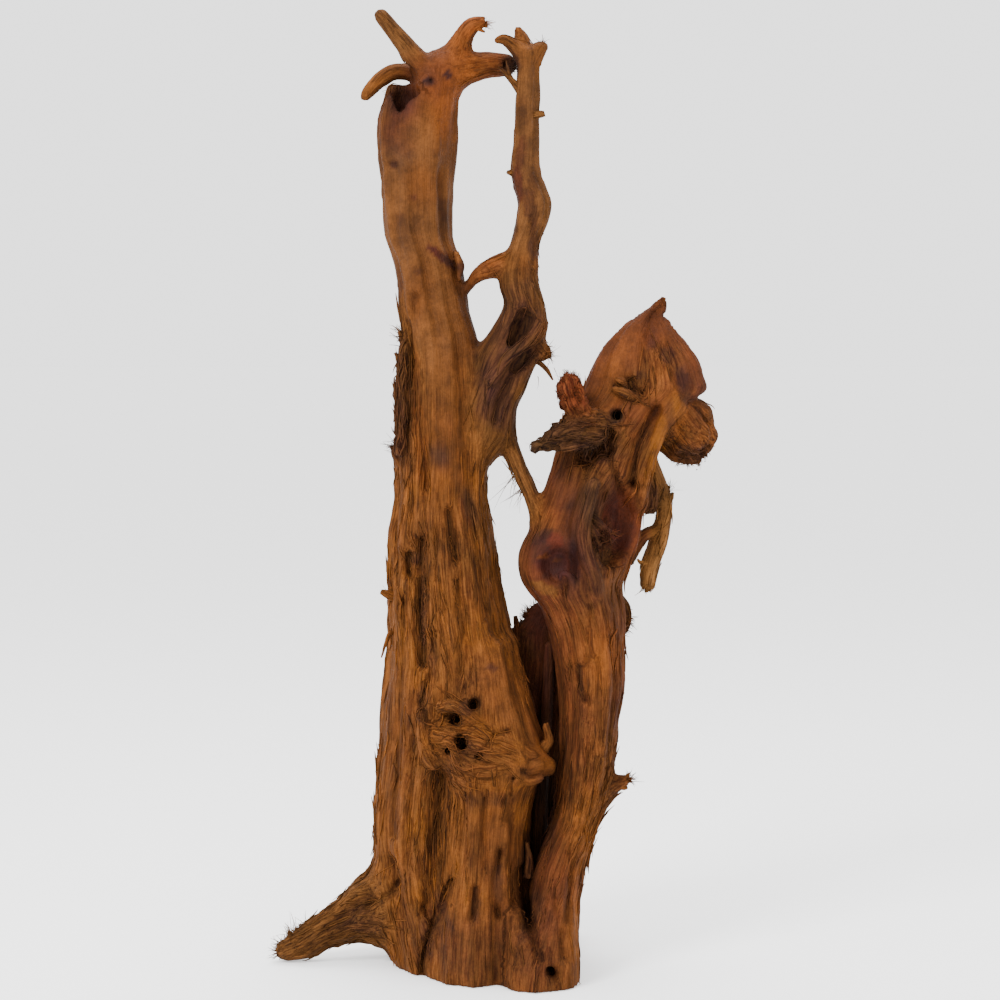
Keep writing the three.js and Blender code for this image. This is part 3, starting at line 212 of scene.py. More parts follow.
# Splinters and twigs: tapered sticks through (x, y, z, radius).
TWIGS = {
    "prong_long": [(15, -10, 558, 3.4), (9, -13, 565, 2.2), (4, -15, 570.5, 1.5), (-0.5, -16, 574, 0.7)],
    "prong_short": [(8.5, -13, 565.5, 1.7), (6.2, -14.5, 572, 1.2), (5.2, -15, 578, 0.6)],
    "arm_nub": [(20, -8, 544, 3.2), (26, -9, 545, 2.6), (29.3, -9.5, 545.5, 1.9)],
    "arm_thorn": [(12, -6, 507, 3.2), (8, -7, 508.5, 2.2), (5.4, -7.5, 509, 1.1)],
    "knee_splinter": [(22, -6, 394, 3.4), (29, -8, 394.5, 2.4), (32.5, -8.5, 395.5, 1.5)],
    "hanging_twig": [(19, -6, 391, 2.8), (26, -8, 388, 1.8), (31, -9, 383, 1.5), (34.6, -9.5, 377, 0.6)],
    "fray_a": [(-16, -5, 601, 3), (-11, -6, 605, 1.7), (-8.5, -6.5, 605.5, 0.8)],
    "fray_b": [(-15, -5, 600, 2.6), (-9.5, -6, 601, 1.6), (-6.8, -6.5, 600.2, 0.7)],
    "fray_c": [(-16, -5, 600, 2.6), (-11.5, -8, 598, 1.3), (-8.4, -9, 596.5, 0.6)],
    "wall_spike": [(13, 19, 206, 3.4), (12, 18.5, 216, 2.4), (10.8, 18, 223.5, 1.4)],
    "strip_fork_a": [(106, 14, 298, 3.4), (109, 14.5, 304, 2), (109.6, 14.6, 308.5, 1.1)],
    "strip_fork_b": [(107, 14, 294, 3.2), (111, 14.5, 299, 1.9), (112.8, 14.8, 304, 1)],
    "stub_tip_a": [(77, -15, 120, 3), (81, -16.5, 123, 1.7), (83.4, -17, 126, 0.7)],
    "stub_tip_b": [(76, -15, 119, 3), (80, -17, 117, 2), (82.5, -17.5, 116.5, 1)],
    "head_tip": [(101, 6, 418, 4), (104.5, 6, 425, 2.4), (106, 6, 429.5, 1.3)],
    "burl_thorn": [(28, -27, 143, 4.4), (32, -28, 149, 3.2), (30.5, -28, 157, 2.4), (30, -28, 160, 1.7)],
    "flank_nub": [(-66, -2, 238, 4), (-72, -3, 240, 2.8), (-75.5, -3.5, 241.5, 1.7)],
    "flank_splinter_high": [(-58, -2, 392, 3.4), (-61, -3, 401, 2), (-63.6, -3.5, 408, 0.9)],
    "flank_splinter_mid": [(-58, -3, 378, 3.8), (-63, -4, 388, 2.2), (-65.6, -4.5, 394.5, 1)],
    "flank_splinter_low": [(-62, -2, 322, 3.8), (-66.5, -3, 330, 2.2), (-68.5, -3.5, 335, 1)],
    "flank_hair": [(-69, -4, 216, 2), (-72.5, -5, 208, 1.2), (-75, -5.5, 199, 0.5)],
    "claw_tip": [(26, -34.5, 336, 2.6), (23, -35, 334, 1.7), (21.8, -35.4, 332.4, 0.9)],
    "right_nub": [(74, -8, 202, 3.4), (79, -8.5, 203, 2.1), (82, -9, 202.5, 1)],
    "edge_nub": [(69, -12, 143, 4), (73.6, -13, 143.5, 2.2), (75.6, -13.4, 143.2, 1)],
    "strip_tooth": [(97, 12, 258, 3), (92.5, 11.5, 258.5, 1.7), (89.6, 11, 261, 0.7)],
    "wall_splinter": [(19, -30, 62, 4), (19.5, -32, 74, 2.6), (18, -32, 84, 1.2)],
}

# Fine forms that only the looks need, in the same terms as above.
FINE_LIMBS = {
    "rib_front": (2, [(60, -36, 312, 3.6), (56, -41, 298, 3.8, 4), (53, -43, 284, 4, 4.4),
        (55, -43, 269, 4.4), (60, -40, 254, 4), (63, -34, 240, 4)]),
    "lobe_front": (7, [(110, -4, 356, 10, 5), (118, 0, 346, 14, 6), (122, 2, 342, 12, 5)]),
    "bark_chip": (1, [(-27, -8, 458, 1.4, 3), (-24.2, -8, 449, 1.9, 3), (-25.4, -8, 441, 1.3, 2.4)]),
    "lobe_bridge": (4, [(112, 3, 360, 9, 7), (123, 5, 359, 8, 6), (129, 7, 356, 6, 5)]),
    "burl_brow": (2, [(-36, -40, 172, 3), (-28, -46, 174, 3.4, 4), (-20, -47, 168, 3, 4),
        (-10, -48, 160, 3, 4)]),
    "burl_crest": (2, [(-30, -52, 146, 3), (-20, -57, 136, 3.4), (-8, -58, 134, 3), (2, -56, 136, 3)]),
    "lump_knot": (2, [(-44, -14, 566, 4.5, 4), (-43, -16, 563, 3.5, 3)]),
    "lump_knot_right": (2, [(-32, -11, 570, 4), (-31, -12, 567, 3)]),
    "eye_curl": (1.5, [(47, -35, 244, 3), (47, -39, 250, 2.5), (44, -42, 256, 2.2), (40, -42, 257, 1.8),
        (38, -41, 253, 1.4)]),
    "rib_curl": (2, [(60, -36, 290, 3.4, 3), (66, -38, 286, 2.6), (70, -37, 281, 2),
        (71, -35, 275, 1.4)]),
    "rib_knot": (2, [(56, -37, 286, 4, 3.4), (60, -39, 281, 3.6, 3), (63, -38, 275, 2.6, 2.4)]),
    "gnarl_a": (1.5, [(76, -17, 377, 2.2), (83, -19, 374, 2.6, 2.4), (90, -18, 369, 1.8)]),
    "gnarl_b": (1.5, [(74, -18, 371, 2), (80, -20, 369, 2.4), (87, -19, 365, 1.6)]),
    "burl_lip": (3, [(-48, -30, 166, 3, 4), (-47, -36, 150, 4, 5), (-42, -40, 138, 4.5, 5),
        (-34, -44, 128, 4.5, 5)]),
    "burl_fold": (2.5, [(6, -48, 138, 3), (14, -47, 143, 3), (21, -43, 142, 2.6)]),
    "burl_swirl": (2, [(12, -47, 130, 3), (18, -46, 126, 3), (26, -41, 127, 2.6)]),
    "burl_button": (2, [(21, -44, 135, 4.4, 4), (25, -41, 136, 4)]),
    "burl_bar": (1.5, [(-27, -45, 157, 2.4, 3), (-21, -48, 156, 2.2, 3), (-14, -48, 152, 2.4, 3)]),
    "wall_rib": (3, [(26, 4, 60, 5, 4), (28, 8, 110, 4, 3.4), (31, 10, 160, 3.4, 3), (33, 9, 205, 3)]),
    "foot_rib_a": (5, [(-24, -56, 4, 4), (-22, -52, 30, 4), (-19, -48, 62, 3), (-15, -50, 92, 3)]),
    "foot_rib_b": (5, [(4, -62, 4, 4), (3, -56, 30, 4), (3, -50, 60, 3), (4, -50, 96, 3)]),
    "knee": (4, [(27, -9, 396, 5, 6), (30, -9, 393, 3)]),
    "claw_ridge": (1.5, [(62, -28, 351, 2.4), (52, -34, 350, 2.2), (42, -36, 347, 2),
        (33, -36, 342, 1.6)]),
    "claw_ridge_low": (1.5, [(60, -27, 337, 2.2), (50, -33, 336, 2.2), (40, -35, 337, 1.8)]),
}
FINE_HOLLOWS = {
    "rib_left": (1.5, [(49, -41, 300, 2.4, 5), (46, -42, 286, 3, 5), (47, -40, 272, 3, 5)]),
    "rib_right": (1.5, [(66, -34, 306, 2.6, 5), (64, -38, 292, 2.6, 5), (63, -40, 276, 2.4, 5),
        (67, -38, 262, 2.4, 4)]),
    "flank_bite_a": (1, [(-69, -6, 404, 2.6, 16), (-66.5, -4, 402, 2, 16)]),
    "flank_bite_b": (1, [(-69, -6, 383, 3, 16), (-65.5, -4, 380, 2.2, 16)]),
    "flank_bite_c": (1, [(-69, -6, 362, 3, 16), (-66, -4, 364, 2.2, 16)]),
    "flank_bite_d": (1, [(-70, -6, 342, 3.2, 16), (-66, -4, 341, 2.4, 16)]),
    "flank_bite_e": (1, [(-71, -6, 318, 3, 16), (-68, -4, 316, 2.2, 16)]),
    "burl_gash": (1.5, [(-25, -60, 154, 5), (-22, -47, 150, 4.6, 6), (-16, -45, 141, 3.4, 5)]),
    "burl_eye": (1.5, [(-17, -52, 176, 4.6, 5), (-15, -42, 174, 4, 5)]),
    "burl_undercut": (3, [(-34, -52, 114, 4, 5), (-20, -60, 113, 4, 5), (-4, -61, 114, 4, 5),
        (12, -57, 115, 3, 5)]),
    "arm_cave_high": (1.5, [(18, -20, 419, 6, 7), (13, -18, 409, 6, 7), (8, -19, 401, 3, 5)]),
    "arm_cave_low": (1.5, [(26, -19, 397, 3.4, 6), (19, -19, 391, 6, 7), (11, -20, 385, 4.5, 6)]),
    "arm_cave_under": (1.5, [(8, -22, 378, 3, 5), (3, -21, 366, 4, 5), (-2, -20, 352, 3, 5)]),
    "claw_cave": (2, [(70, -26, 334, 5, 7), (60, -28, 331, 5.5, 7), (50, -30, 331, 4, 5)]),
    "eye_floor": (1.5, [(31, -44, 275, 12, 13), (35, -43, 266, 15), (38, -43, 256, 12)]),
    "neck_floor": (2.5, [(80, -33, 305, 9, 14), (79, -32, 291, 14, 17), (76, -32, 276, 13, 16)]),
    "stem_top_wide": (2, [(-67, -15, 562, 6, 8), (-58, -15, 562, 8, 9), (-52, -13, 558, 4, 6)]),
    "burl_side": (2, [(30, -40, 118, 4, 8), (32, -34, 104, 5, 9), (30, -34, 88, 4, 8)]),
    "root_underside": (3, [(-88, -8, 12, 7, 10), (-104, -6, 7, 5, 8)]),
    "lump_dimple": (1, [(-43, -22, 566, 1.6, 2), (-42, -16, 565, 1.4, 3)]),
    "arm_mouth": (1, [(9, -2, 578, 2.2, 2.4), (4, -1, 577, 2)]),
    "burl_pocket": (2, [(-12, -55, 144, 3.4, 4), (-6, -50, 141, 3, 4)]),
    "burl_pin": (0.6, [(9, -56, 129, 1.3, 2), (9, -44, 128, 1.2, 2)]),
    "burl_slot": (0.8, [(14, -52, 134, 1.2, 3), (19, -50, 131, 1.2, 3)]),
    "foot_hole": (1, [(31, -90, 10, 2.2, 3), (32, -76, 12, 1.6, 3)]),
    "neck_cleft": (2, [(88, -22, 310, 2, 4), (86, -24, 296, 3, 5), (84, -22, 284, 2.4, 4)]),
    "flank_hole": (1.2, [(-60, -34, 262, 3, 4), (-58, -28, 258, 2.4, 4)]),
    "stem_wormhole": (0.8, [(-62, -24, 240, 1.3, 3), (-62, -20, 236, 1.3, 3)]),
    "lobe_bite_a": (2, [(133, 2, 326, 4, 6), (130, 4, 330, 2, 4)]),
    "lobe_bite_b": (2, [(116, 2, 320, 3, 5), (117, 5, 324, 2, 4)]),
    "notch_head": (1.5, [(134, 0, 367, 3, 16), (129, 0, 366, 1.6, 16)]),
    "wall_notch_a": (0.8, [(14.6, 0, 222, 2.4), (14.6, 40, 222, 2.4)]),
    "wall_notch_b": (0.8, [(18.6, 0, 232, 2.8), (18.6, 40, 233, 2.8)]),
    "wall_notch_c": (0.8, [(24.5, 0, 240, 3.4), (24.5, 40, 240, 3.4)]),
    "notch_tip": (1, [(110, 0, 419, 2.6, 12), (106, 0, 418, 1.4, 12)]),
}
FINE_FURROWS = [
    ([(100, 358), (91, 342), (87, 326), (85, 312)], 3, 4.5, -6),
    ([(114, 340), (106, 328), (102, 314)], 2.6, 4, 2),
    ([(-26, 250), (-22, 220), (-24, 192)], 2.2, 2.4, 0),
    ([(-60, 240), (-60, 205), (-62, 170), (-64, 120), (-66, 86)], 2.4, 2.6, 4),
    ([(-66, 300), (-64, 270), (-63, 246)], 2, 2.4, 4),
    ([(-38, 340), (-36, 300), (-40, 262)], 2, 1.8, 0),
    ([(-20, 330), (-18, 300), (-14, 262), (-10, 226)], 2, 1.8, 0),
    ([(-54, 150), (-54, 120), (-56, 92), (-58, 66)], 2.6, 3, 0),
    ([(-20, 118), (-22, 96), (-24, 72), (-28, 50)], 2, 2.6, -20),
    ([(-9, 116), (-10, 92), (-8, 70)], 1.8, 2, -20),
    ([(7, 118), (8, 96), (7, 72), (10, 46)], 1.8, 2.2, -20),
    ([(-60, 60), (-70, 48), (-84, 38)], 2.4, 2.6, 2),
    ([(46, 196), (48, 150), (46, 110), (44, 70), (42, 40)], 2.2, 2.4, -20),
    ([(58, 236), (57, 214), (56, 198)], 2, 2, -16),
    ([(70, 216), (72, 180), (68, 140)], 2, 2, -8),
    ([(34, 64), (36, 44), (40, 20)], 2.2, 2.6, -40),
    ([(24, 62), (28, 40), (32, 22)], 2, 2, -40),
    ([(70, 330), (74, 316), (78, 306)], 2, 2.4, -10),
    ([(20, 480), (22, 462), (20, 440)], 1.8, 1.4, -6),
    ([(-48, 44), (-44, 36), (-38, 30)], 2, 3, 0),
    ([(-8, 150), (-2, 156), (6, 158)], 1.8, 2, -30),
    ([(10, 424), (16, 424), (22, 419)], 2, -2.2, -8),
    ([(-70, 512), (-66, 514)], 2.4, 1.6, 6),
]

# Limbs that stand in a hollow, so they join the wood after the hollows are taken out.
INNER_LIMBS = ("rib_front", "eye_curl", "rib_curl", "rib_knot")

# Wide worn hollows, which get less painted shade inside than cracks and holes.
OPEN_HOLLOWS = (
    "eye", "neck_hollow", "stem_top_hollow", "back_hollow", "eye_floor", "neck_floor", "stem_top_wide",
    "root_underside",
)

# Parts whose surface is smoother, and parts that crumble.
SLIM_PARTS = (
    "up_stub left_hook top_stub right_stub arm_hook tie_root crown_hook crown_peak crown_knob strip "
    "strip_bridge side_stub rising_arm"
)
CRUMBLY_PARTS = "frayed_stub dark_claw claw_ridge claw_ridge_low rib_curl rib_knot"

# Which of the three grain fields a part carries, so that neighbours differ. The rest carry field 0.
GRAIN_SLOTS = {
    2: (
        "front_buttress back_wall rear_root up_stub left_hook right_stub arm_hook tie_root crown_peak "
        "head_rib dark_claw lobe_corner strip_web strip_bridge rib_front back_ridge head_back"
    ),
    1: (
        "right_stem rising_arm front_root rear_spur crown burl_knob bark_chip burl_brow burl_crest "
        "burl_rim bark_flap back_knot back_stub"
    ),
}

# The tone of each part. The rest are ochre.
PART_TONES = {
    "russet": "right_stem",
    "trunk": "rising_arm up_stub tie_root front_root",
    "wall": "back_wall",
    "rust": "crown top_stub right_stub arm_hook",
    "bark": "neck_rib strip_bridge side_flake",
    "umber": (
        "rib_front rib_curl rib_knot eye_curl strip_web bark_flap wall_rib claw_ridge "
        "claw_ridge_low"
    ),
    "grey": "dark_claw",
    "red": "frayed_stub",
    "pale": "strip",
    "tan": "lobe lobe_front lobe_bridge",
    "gold": "head_rib",
}

# Places worn smooth and places left rough: ovals (x, z, half width, half height, amount, lean). The
# lean is in degrees and left out where it is 0.
SMOOTH = [
    (-50, 500, 34, 62, 0.9), (-40, 420, 26, 40, 0.75), (-34, 350, 18, 60, 0.45), (16, 520, 18, 75, 0.7),
    (78, 290, 11, 20, 0.8), (92, 392, 46, 42, 0.85, 30), (36, 264, 18, 18, 0.9), (74, 284, 18, 18, 0.7),
    (0, 182, 16, 26, 0.5, 14), (28, 160, 10, 70, 0.5), (22, 226, 12, 20, 0.5), (-40, 575, 24, 24, 0.5),
    (103, 340, 8, 22, 0.7), (-2, 400, 18, 34, 0.4, 20), (0, 40, 60, 40, 0.3), (42, 60, 16, 50, 0.1),
    (60, 190, 22, 80, 0.2), (44, 300, 14, 40, 0.5, 20), (-60, 160, 14, 90, 0.25), (-2, 100, 22, 30, 0.3),
]
ROUGH = [
    (-60, 370, 12, 50, 1.3), (-50, 225, 14, 45, 0.7), (-40, 100, 16, 55, 0.7), (62, 280, 12, 16, 1.2),
    (66, 336, 14, 12, 1.2), (84, 372, 14, 8, 1.0), (100, 386, 20, 13, 1.4, 35), (90, 371, 14, 6, 1.0),
    (44, 374, 9, 12, 1.5), (-20, 150, 24, 24, 0.8), (64, 90, 18, 60, 0.6), (106, 300, 16, 60, 0.8),
    (124, 332, 16, 12, 1.2), (6, 392, 24, 12, 0.5, 20), (50, 345, 26, 14, 0.9), (-110, 25, 40, 24, 0.7),
]

# Stains and weathered patches of the front, with some painted shade and painted highlights: a tone and
# its ovals, in the same terms. Later ones lie over earlier ones.
STAINS = [
    ("trunk", (-50, 500, 40, 76, 0.8), (-44, 410, 26, 50, 0.6)), ("rust", (-38, 566, 24, 20, 0.8)),
    ("tan", (92, 396, 34, 34, 0.7, 30)), ("rust", (36, 296, 14, 20, 0.3), (88, 292, 6, 24, 0.5)),
    ("trunk", (66, 120, 10, 60, 0.3)), ("umber", (-54, 492, 3, 2, 0.6), (-62, 478, 2.4, 5, 0.5, 20),
    (-40, 520, 2.4, 4, 0.4), (-36, 486, 2.4, 10, 0.45, 10), (-50, 446, 3, 2.4, 0.4),
    (107, 393, 5, 6, 0.7), (116, 378, 4, 9, 0.7), (119, 366, 5, 5, 0.6), (96, 388, 14, 10, 0.35, 30),
    (90, 330, 5, 18, 0.5, -10)), ("gold", (101, 332, 4, 16, 0.5, -12)), ("umber", (-10, 24, 60, 24, 0.42),
    (8, 60, 20, 30, 0.2), (47, 286, 4, 20, 0.5)), ("rust", (-33, 545, 8, 24, 0.6)),
    ("plum", (-70, 540, 7, 18, 0.55)), ("grey", (-62, 520, 10, 14, 0.4, 20)),
    ("rust", (-48, 500, 10, 14, 0.35)), ("grey", (-58, 470, 8, 16, 0.25)),
    ("plum", (-36, 455, 12, 3.4, 0.9, -42)), ("umber", (-23, 448, 2.4, 8, 0.8)),
    ("plum", (12, 500, 4, 12, 0.8)), ("umber", (20, 486, 4.5, 15, 0.75, 14), (22, 464, 3.6, 11, 0.7),
    (9, 474, 3.4, 9, 0.7), (15, 545, 3.4, 13, 0.4), (-61, 553, 12, 12, 0.75)),
    ("plum", (-56, 544, 10, 9, 0.6)), ("umber", (40, 306, 12, 18, 0.3, 30), (57, 284, 7, 22, 0.6),
    # Painted shade: the umber band at (-2, 116) is the shadow under the burl's overhang, and (66, 330) the
    # shade in the hollow under the claw.
    (-14, 140, 26, 20, 0.35), (-2, 116, 24, 5, 0.4), (66, 330, 16, 6, 0.6), (96, 372, 20, 6, 0.3, 20)),
    ("gold", (70, 372, 12, 20, 0.35, -20)), ("rust", (-52, 430, 8, 20, 0.3)),
    ("plum", (-36, 330, 6, 9, 0.7, 20), (-19, 296, 5, 14, 0.6, 18), (-61, 556, 8, 9, 0.9),
    (-66, 536, 9, 10, 0.35), (-58, 528, 8, 10, 0.3)), ("umber", (-66, 513, 3.5, 2.5, 0.7)),
    ("char", (8, 577, 7, 8, 0.95), (-44, 565, 3, 3.4, 0.8), (-32, 569, 2.6, 3, 0.8)),
    ("grey", (-32, 452, 7, 2.6, 0.5, -42)), ("umber", (-59, 368, 6, 44, 0.5, 3)),
    ("rust", (-50, 350, 4, 50, 0.5, 3)), ("umber", (-60, 330, 6, 22, 0.4), (-63, 440, 3, 14, 0.5)),
    ("grey", (-36, 331, 7, 9, 0.6, 20), (-18, 297, 6, 14, 0.6, 20), (-18, 266, 7, 10, 0.35, 30)),
    ("umber", (-48, 232, 3, 30, 0.7), (-41, 202, 3, 12, 0.6), (-38, 98, 6, 36, 0.1, 3),
    (18, 72, 5, 16, 0.7), (-48, 172, 4, 14, 0.5), (-20, 172, 5, 4, 0.7), (-20, 146, 9, 6, 0.6, 30),
    (31, 118, 7, 22, 0.5)), ("char", (30, 104, 7, 26, 0.6)), ("gold", (54, 98, 13, 34, 0.5)),
    ("wall", (26, 200, 14, 44, 0.6)), ("bark", (8, 178, 9, 24, 0.6, 14)), ("gold", (32, 134, 7, 7, 0.6),
    (60, 200, 14, 50, 0.3)), ("umber", (128, 352, 7, 14, 0.45, -20), (-4, 196, 4.5, 3, 0.7),
    (90, 380, 4, 2.6, 0.6, 20), (98, 400, 4.6, 2.6, 0.5, 40)), ("plum", (14, 520, 3, 11, 0.6, -8)),
    ("umber", (22, 500, 3, 9, 0.6, 12), (8, 505, 3, 8, 0.5, -10), (-22, 28, 30, 20, 0.3)),
    # Painted highlight: the pale streak at (29, 246) is the sheen on the lower floor of the eye.
    ("gold", (54, 30, 14, 26, 0.3)), ("pale", (29, 246, 9, 3.4, 0.4, -25)),
    ("red", (77, 286, 18, 18, 0.7)), ("umber", (74, 281, 12, 8, 0.25)),
    ("rust", (85, 290, 7, 18, 0.45, 10)), ("grey", (57, 298, 7, 20, 0.55)),
    # Painted shade: the char at (60, 334) fills the hollow under the claw.
    ("umber", (62, 280, 8, 9, 0.5)), ("char", (60, 334, 14, 8, 0.85, 10), (46, 341, 12, 6, 0.5)),
    # Painted shade: the char at (75, 354.5) blackens the inside of the hole in the head.
    ("umber", (84, 372, 11, 7, 0.45)), ("char", (75, 354.5, 4.4, 4.4, 1.0)),
    ("umber", (116, 382, 5, 14, 0.45, 20), (124, 330, 16, 7, 0.8), (108, 348, 4, 16, 0.5)),
    ("gold", (104, 342, 4, 14, 0.6)), ("umber", (10, 408, 26, 36, 0.85), (0, 364, 14, 28, 0.9, 20)),
    ("char", (-2, 376, 9, 18, 0.35, 30)), ("umber", (-108, 24, 36, 16, 0.5, 30), (12, 388, 14, 16, 0.75),
    (18, 412, 12, 12, 0.7)), ("char", (14, 394, 9, 8, 0.7), (16, 412, 7, 7, 0.5)),
    ("umber", (98, 302, 6, 12, 0.8), (-82, 28, 14, 10, 0.6), (-14, 50, 3, 12, 0.7),
    (-34, 44, 3, 14, 0.6, 30), (-46, 26, 3, 14, 0.5, 15), (20, 42, 4, 18, 0.6, -25), (0, 62, 3, 14, 0.5),
    (52, 190, 2.6, 12, 0.6)), ("bark", (70, 250, 10, 16, 0.4)), ("umber", (-52, 264, 7, 4, 0.7),
    (60, 246, 8, 8, 0.4)), ("bark", (48, 320, 10, 16, 0.5)), ("umber", (-26, 316, 3, 10, 0.3)),
]

# Marks with a clear but ragged edge, in the same terms, among them painted shade and painted highlights in
# the eye.
MARKS = [
    ("umber", (34, 268, 13, 15, 0.55)), ("plum", (34, 262, 11, 9, 0.5)),
    # Painted shade: the char along the eye's top rim and the char strip at its right side, under the rib.
    ("char", (28, 278, 8, 4, 0.5, 25)), ("red", (36, 276, 5, 5, 0.6)), ("char", (48, 262, 3, 14, 0.5, 4)),
    # Painted highlights: the two thin tan streaks are glints on the eye's floor.
    ("tan", (29, 266, 4.5, 1.4, 0.75, -14), (37, 264, 3, 1.3, 0.6, 12)), ("grey", (68, 266, 4, 6, 0.6)),
    ("umber", (72, 300, 3.4, 16, 0.5, 8)),
]

# Tufts of root hair: (x, y, z, spread, count, length, heading, seed).
TUFTS = [
    (-135, 1, 18, 7, 60, 8, (-0.1, 0, 1), 1), (-140, 2, 8, 5, 60, 5, (-1, 0, 0.2), 2),
    (-127, 0, 22, 5, 30, 6, (0, 0, 1), 3), (45, -29, 377, 6, 500, 3, (-0.1, 0, 1), 4),
    (46, -28, 367, 6.5, 420, 3, (-0.7, -0.3, 0.3), 5), (13, -4, 318, 3, 12, 13, (-0.4, 0, -1), 6),
    (17, -5, 308, 3, 12, 11, (-0.3, 0, -1), 7), (35, -9, 375, 1.5, 8, 7, (0.2, 0, -1), 8),
    (125, 10, 326, 11, 420, 2, (0.1, -0.2, -1), 9), (136, 10, 338, 6, 160, 1.6, (1, 0, -0.3), 10),
    (114, 9, 328, 6, 120, 2, (-0.2, -0.2, -1), 21), (83, -16, 122, 3, 50, 5, (0.8, 0, 0.6), 11),
    (-8, -6, 602, 2.5, 40, 5, (1, 0, -0.2), 12), (27, -9, 590, 3, 20, 2.5, (0.4, 0, 1), 13),
    (96, 12, 243, 3, 60, 3, (-0.2, 0, -1), 14), (110, 14, 305, 3, 30, 5, (0.2, 0, 1), 15),
    (65, -36, 280, 7, 200, 6, (0.5, -0.7, -0.3), 16), (24, -35, 335, 2, 20, 3, (-1, 0, -0.1), 17),
    (56, -26, 330, 9, 140, 6, (-0.2, -0.6, -0.8), 18), (-64, -3, 404, 4, 60, 6, (-0.5, 0, 1), 19),
    (-68, -4, 334, 4, 60, 5, (-0.7, 0, 0.6), 20), (9, 4, 577, 5, 80, 3, (1, 0, 0), 22),
    (-72, -4, 240, 4, 40, 4, (-1, 0, 0.3), 23), (81, -4, 222, 8, 120, 4, (1, 0, -0.3), 24),
    (16, 16, 226, 6, 80, 5, (-0.2, 0, 1), 25), (30, -10, 395, 5, 60, 4, (0.8, -0.3, -0.4), 26),
    (-70, -6, 560, 4, 30, 3, (-0.5, 0, 1), 27), (104, 12, 300, 8, 90, 5, (-0.6, -0.3, -0.5), 28),
]


def smooth_min(a, b, k):
    if k <= 0:
        return np.minimum(a, b)
    overlap = np.maximum(k - np.abs(a - b), 0) / k
    return np.minimum(a, b) - overlap * overlap * k / 4


def smooth_max(a, b, k):
    return -smooth_min(-a, -b, k)


def unit(v, axis=1):
    return v / (np.linalg.norm(v, axis=axis, keepdims=True) + 1e-9)


def stem_table(rows):
    """A stem's sections at every millimetre of height, as columns left, right, y, depth."""
    rows = np.array(rows, float)
    heights = np.arange(rows[0, 0], rows[-1, 0] + 0.5)
    table = np.empty((len(heights), 4))
    for i, h in enumerate(heights):
        j = int(np.clip(np.searchsorted(rows[:, 0], h, side="right") - 1, 0, len(rows) - 2))
        b, c = rows[j], rows[j + 1]
        a, d = rows[max(j - 1, 0)], rows[min(j + 2, len(rows) - 1)]
        span = c[0] - b[0]
        t = (h - b[0]) / span
        slope_b = (c - a)[1:] / (c[0] - a[0]) * span
        slope_c = (d - b)[1:] / (d[0] - b[0]) * span
        table[i] = (
            (2 * t**3 - 3 * t**2 + 1) * b[1:] + (t**3 - 2 * t**2 + t) * slope_b
            + (3 * t**2 - 2 * t**3) * c[1:] + (t**3 - t**2) * slope_c
        )
    return heights[0], table


def flutes(angle, z):
    return (
        0.9 * np.sin(2 * angle + 0.7 + z / 95) + 0.8 * np.sin(3 * angle + 2.1 - z / 70)
        + 0.7 * np.sin(5 * angle + 4.0 + z / 55) + 0.55 * np.sin(8 * angle + 1.3 - z / 48)
        + 0.45 * np.sin(13 * angle + 5.2 + z / 60)
    )


class Stem:
    """A stack of oval sections, with a fluted skin and a level top."""

    def __init__(self, name, blend, flute, top, rows):
        self.name, self.blend, self.flute, self.top = name, blend, flute, top
        self.low, self.table = stem_table(rows)
        self.half = float(np.mean(self.table[:, 1] - self.table[:, 0])) / 2

    def near(self, p):
        return np.arange(len(p))

    def parts(self, p):
        at = np.clip(p[:, 2] - self.low, 0, len(self.table) - 1.001)
        i = at.astype(int)
        row = self.table[i] + (self.table[i + 1] - self.table[i]) * (at - i)[:, None]
        half = np.maximum((row[:, 1] - row[:, 0]) / 2, 0.5)
        return row, half, p[:, 0] - (row[:, 0] + row[:, 1]) / 2, p[:, 1] - row[:, 2]

    def field(self, p):
        row, half, dx, dy = self.parts(p)
        share = np.hypot(dx / half, dy / row[:, 3])
        angle = np.arctan2(dy / row[:, 3], dx / half)
        away = np.hypot(dx, dy)
        side = np.where(share > 0.02, away - away / np.maximum(share, 1e-6), -np.minimum(half, row[:, 3]))
        return smooth_max(side - self.flute * flutes(angle, p[:, 2]), p[:, 2] - self.top, 5)

    def grain(self, p, ahead=6.0):
        """Position across, into and along the grain, and the direction the grain runs in."""
        row, half, dx, dy = self.parts(p)
        next_row, next_half, _, _ = self.parts(p + (0, 0, ahead))
        next_x = (next_row[:, 0] + next_row[:, 1]) / 2 + dx / half * next_half
        next_y = next_row[:, 2] + dy / row[:, 3] * next_row[:, 3]
        run = np.stack([next_x - p[:, 0], next_y - p[:, 1], np.full(len(p), ahead)], 1)
        run /= np.linalg.norm(run, axis=1)[:, None]
        return np.stack([dx / half * self.half, dy / row[:, 3] * self.half, p[:, 2]], 1), run


def rounds(points):
    """Points as rows x, y, z, radius, radius in depth, the last filled in where it is left out."""
    return np.array([q if len(q) == 5 else (*q, q[3]) for q in points], float)


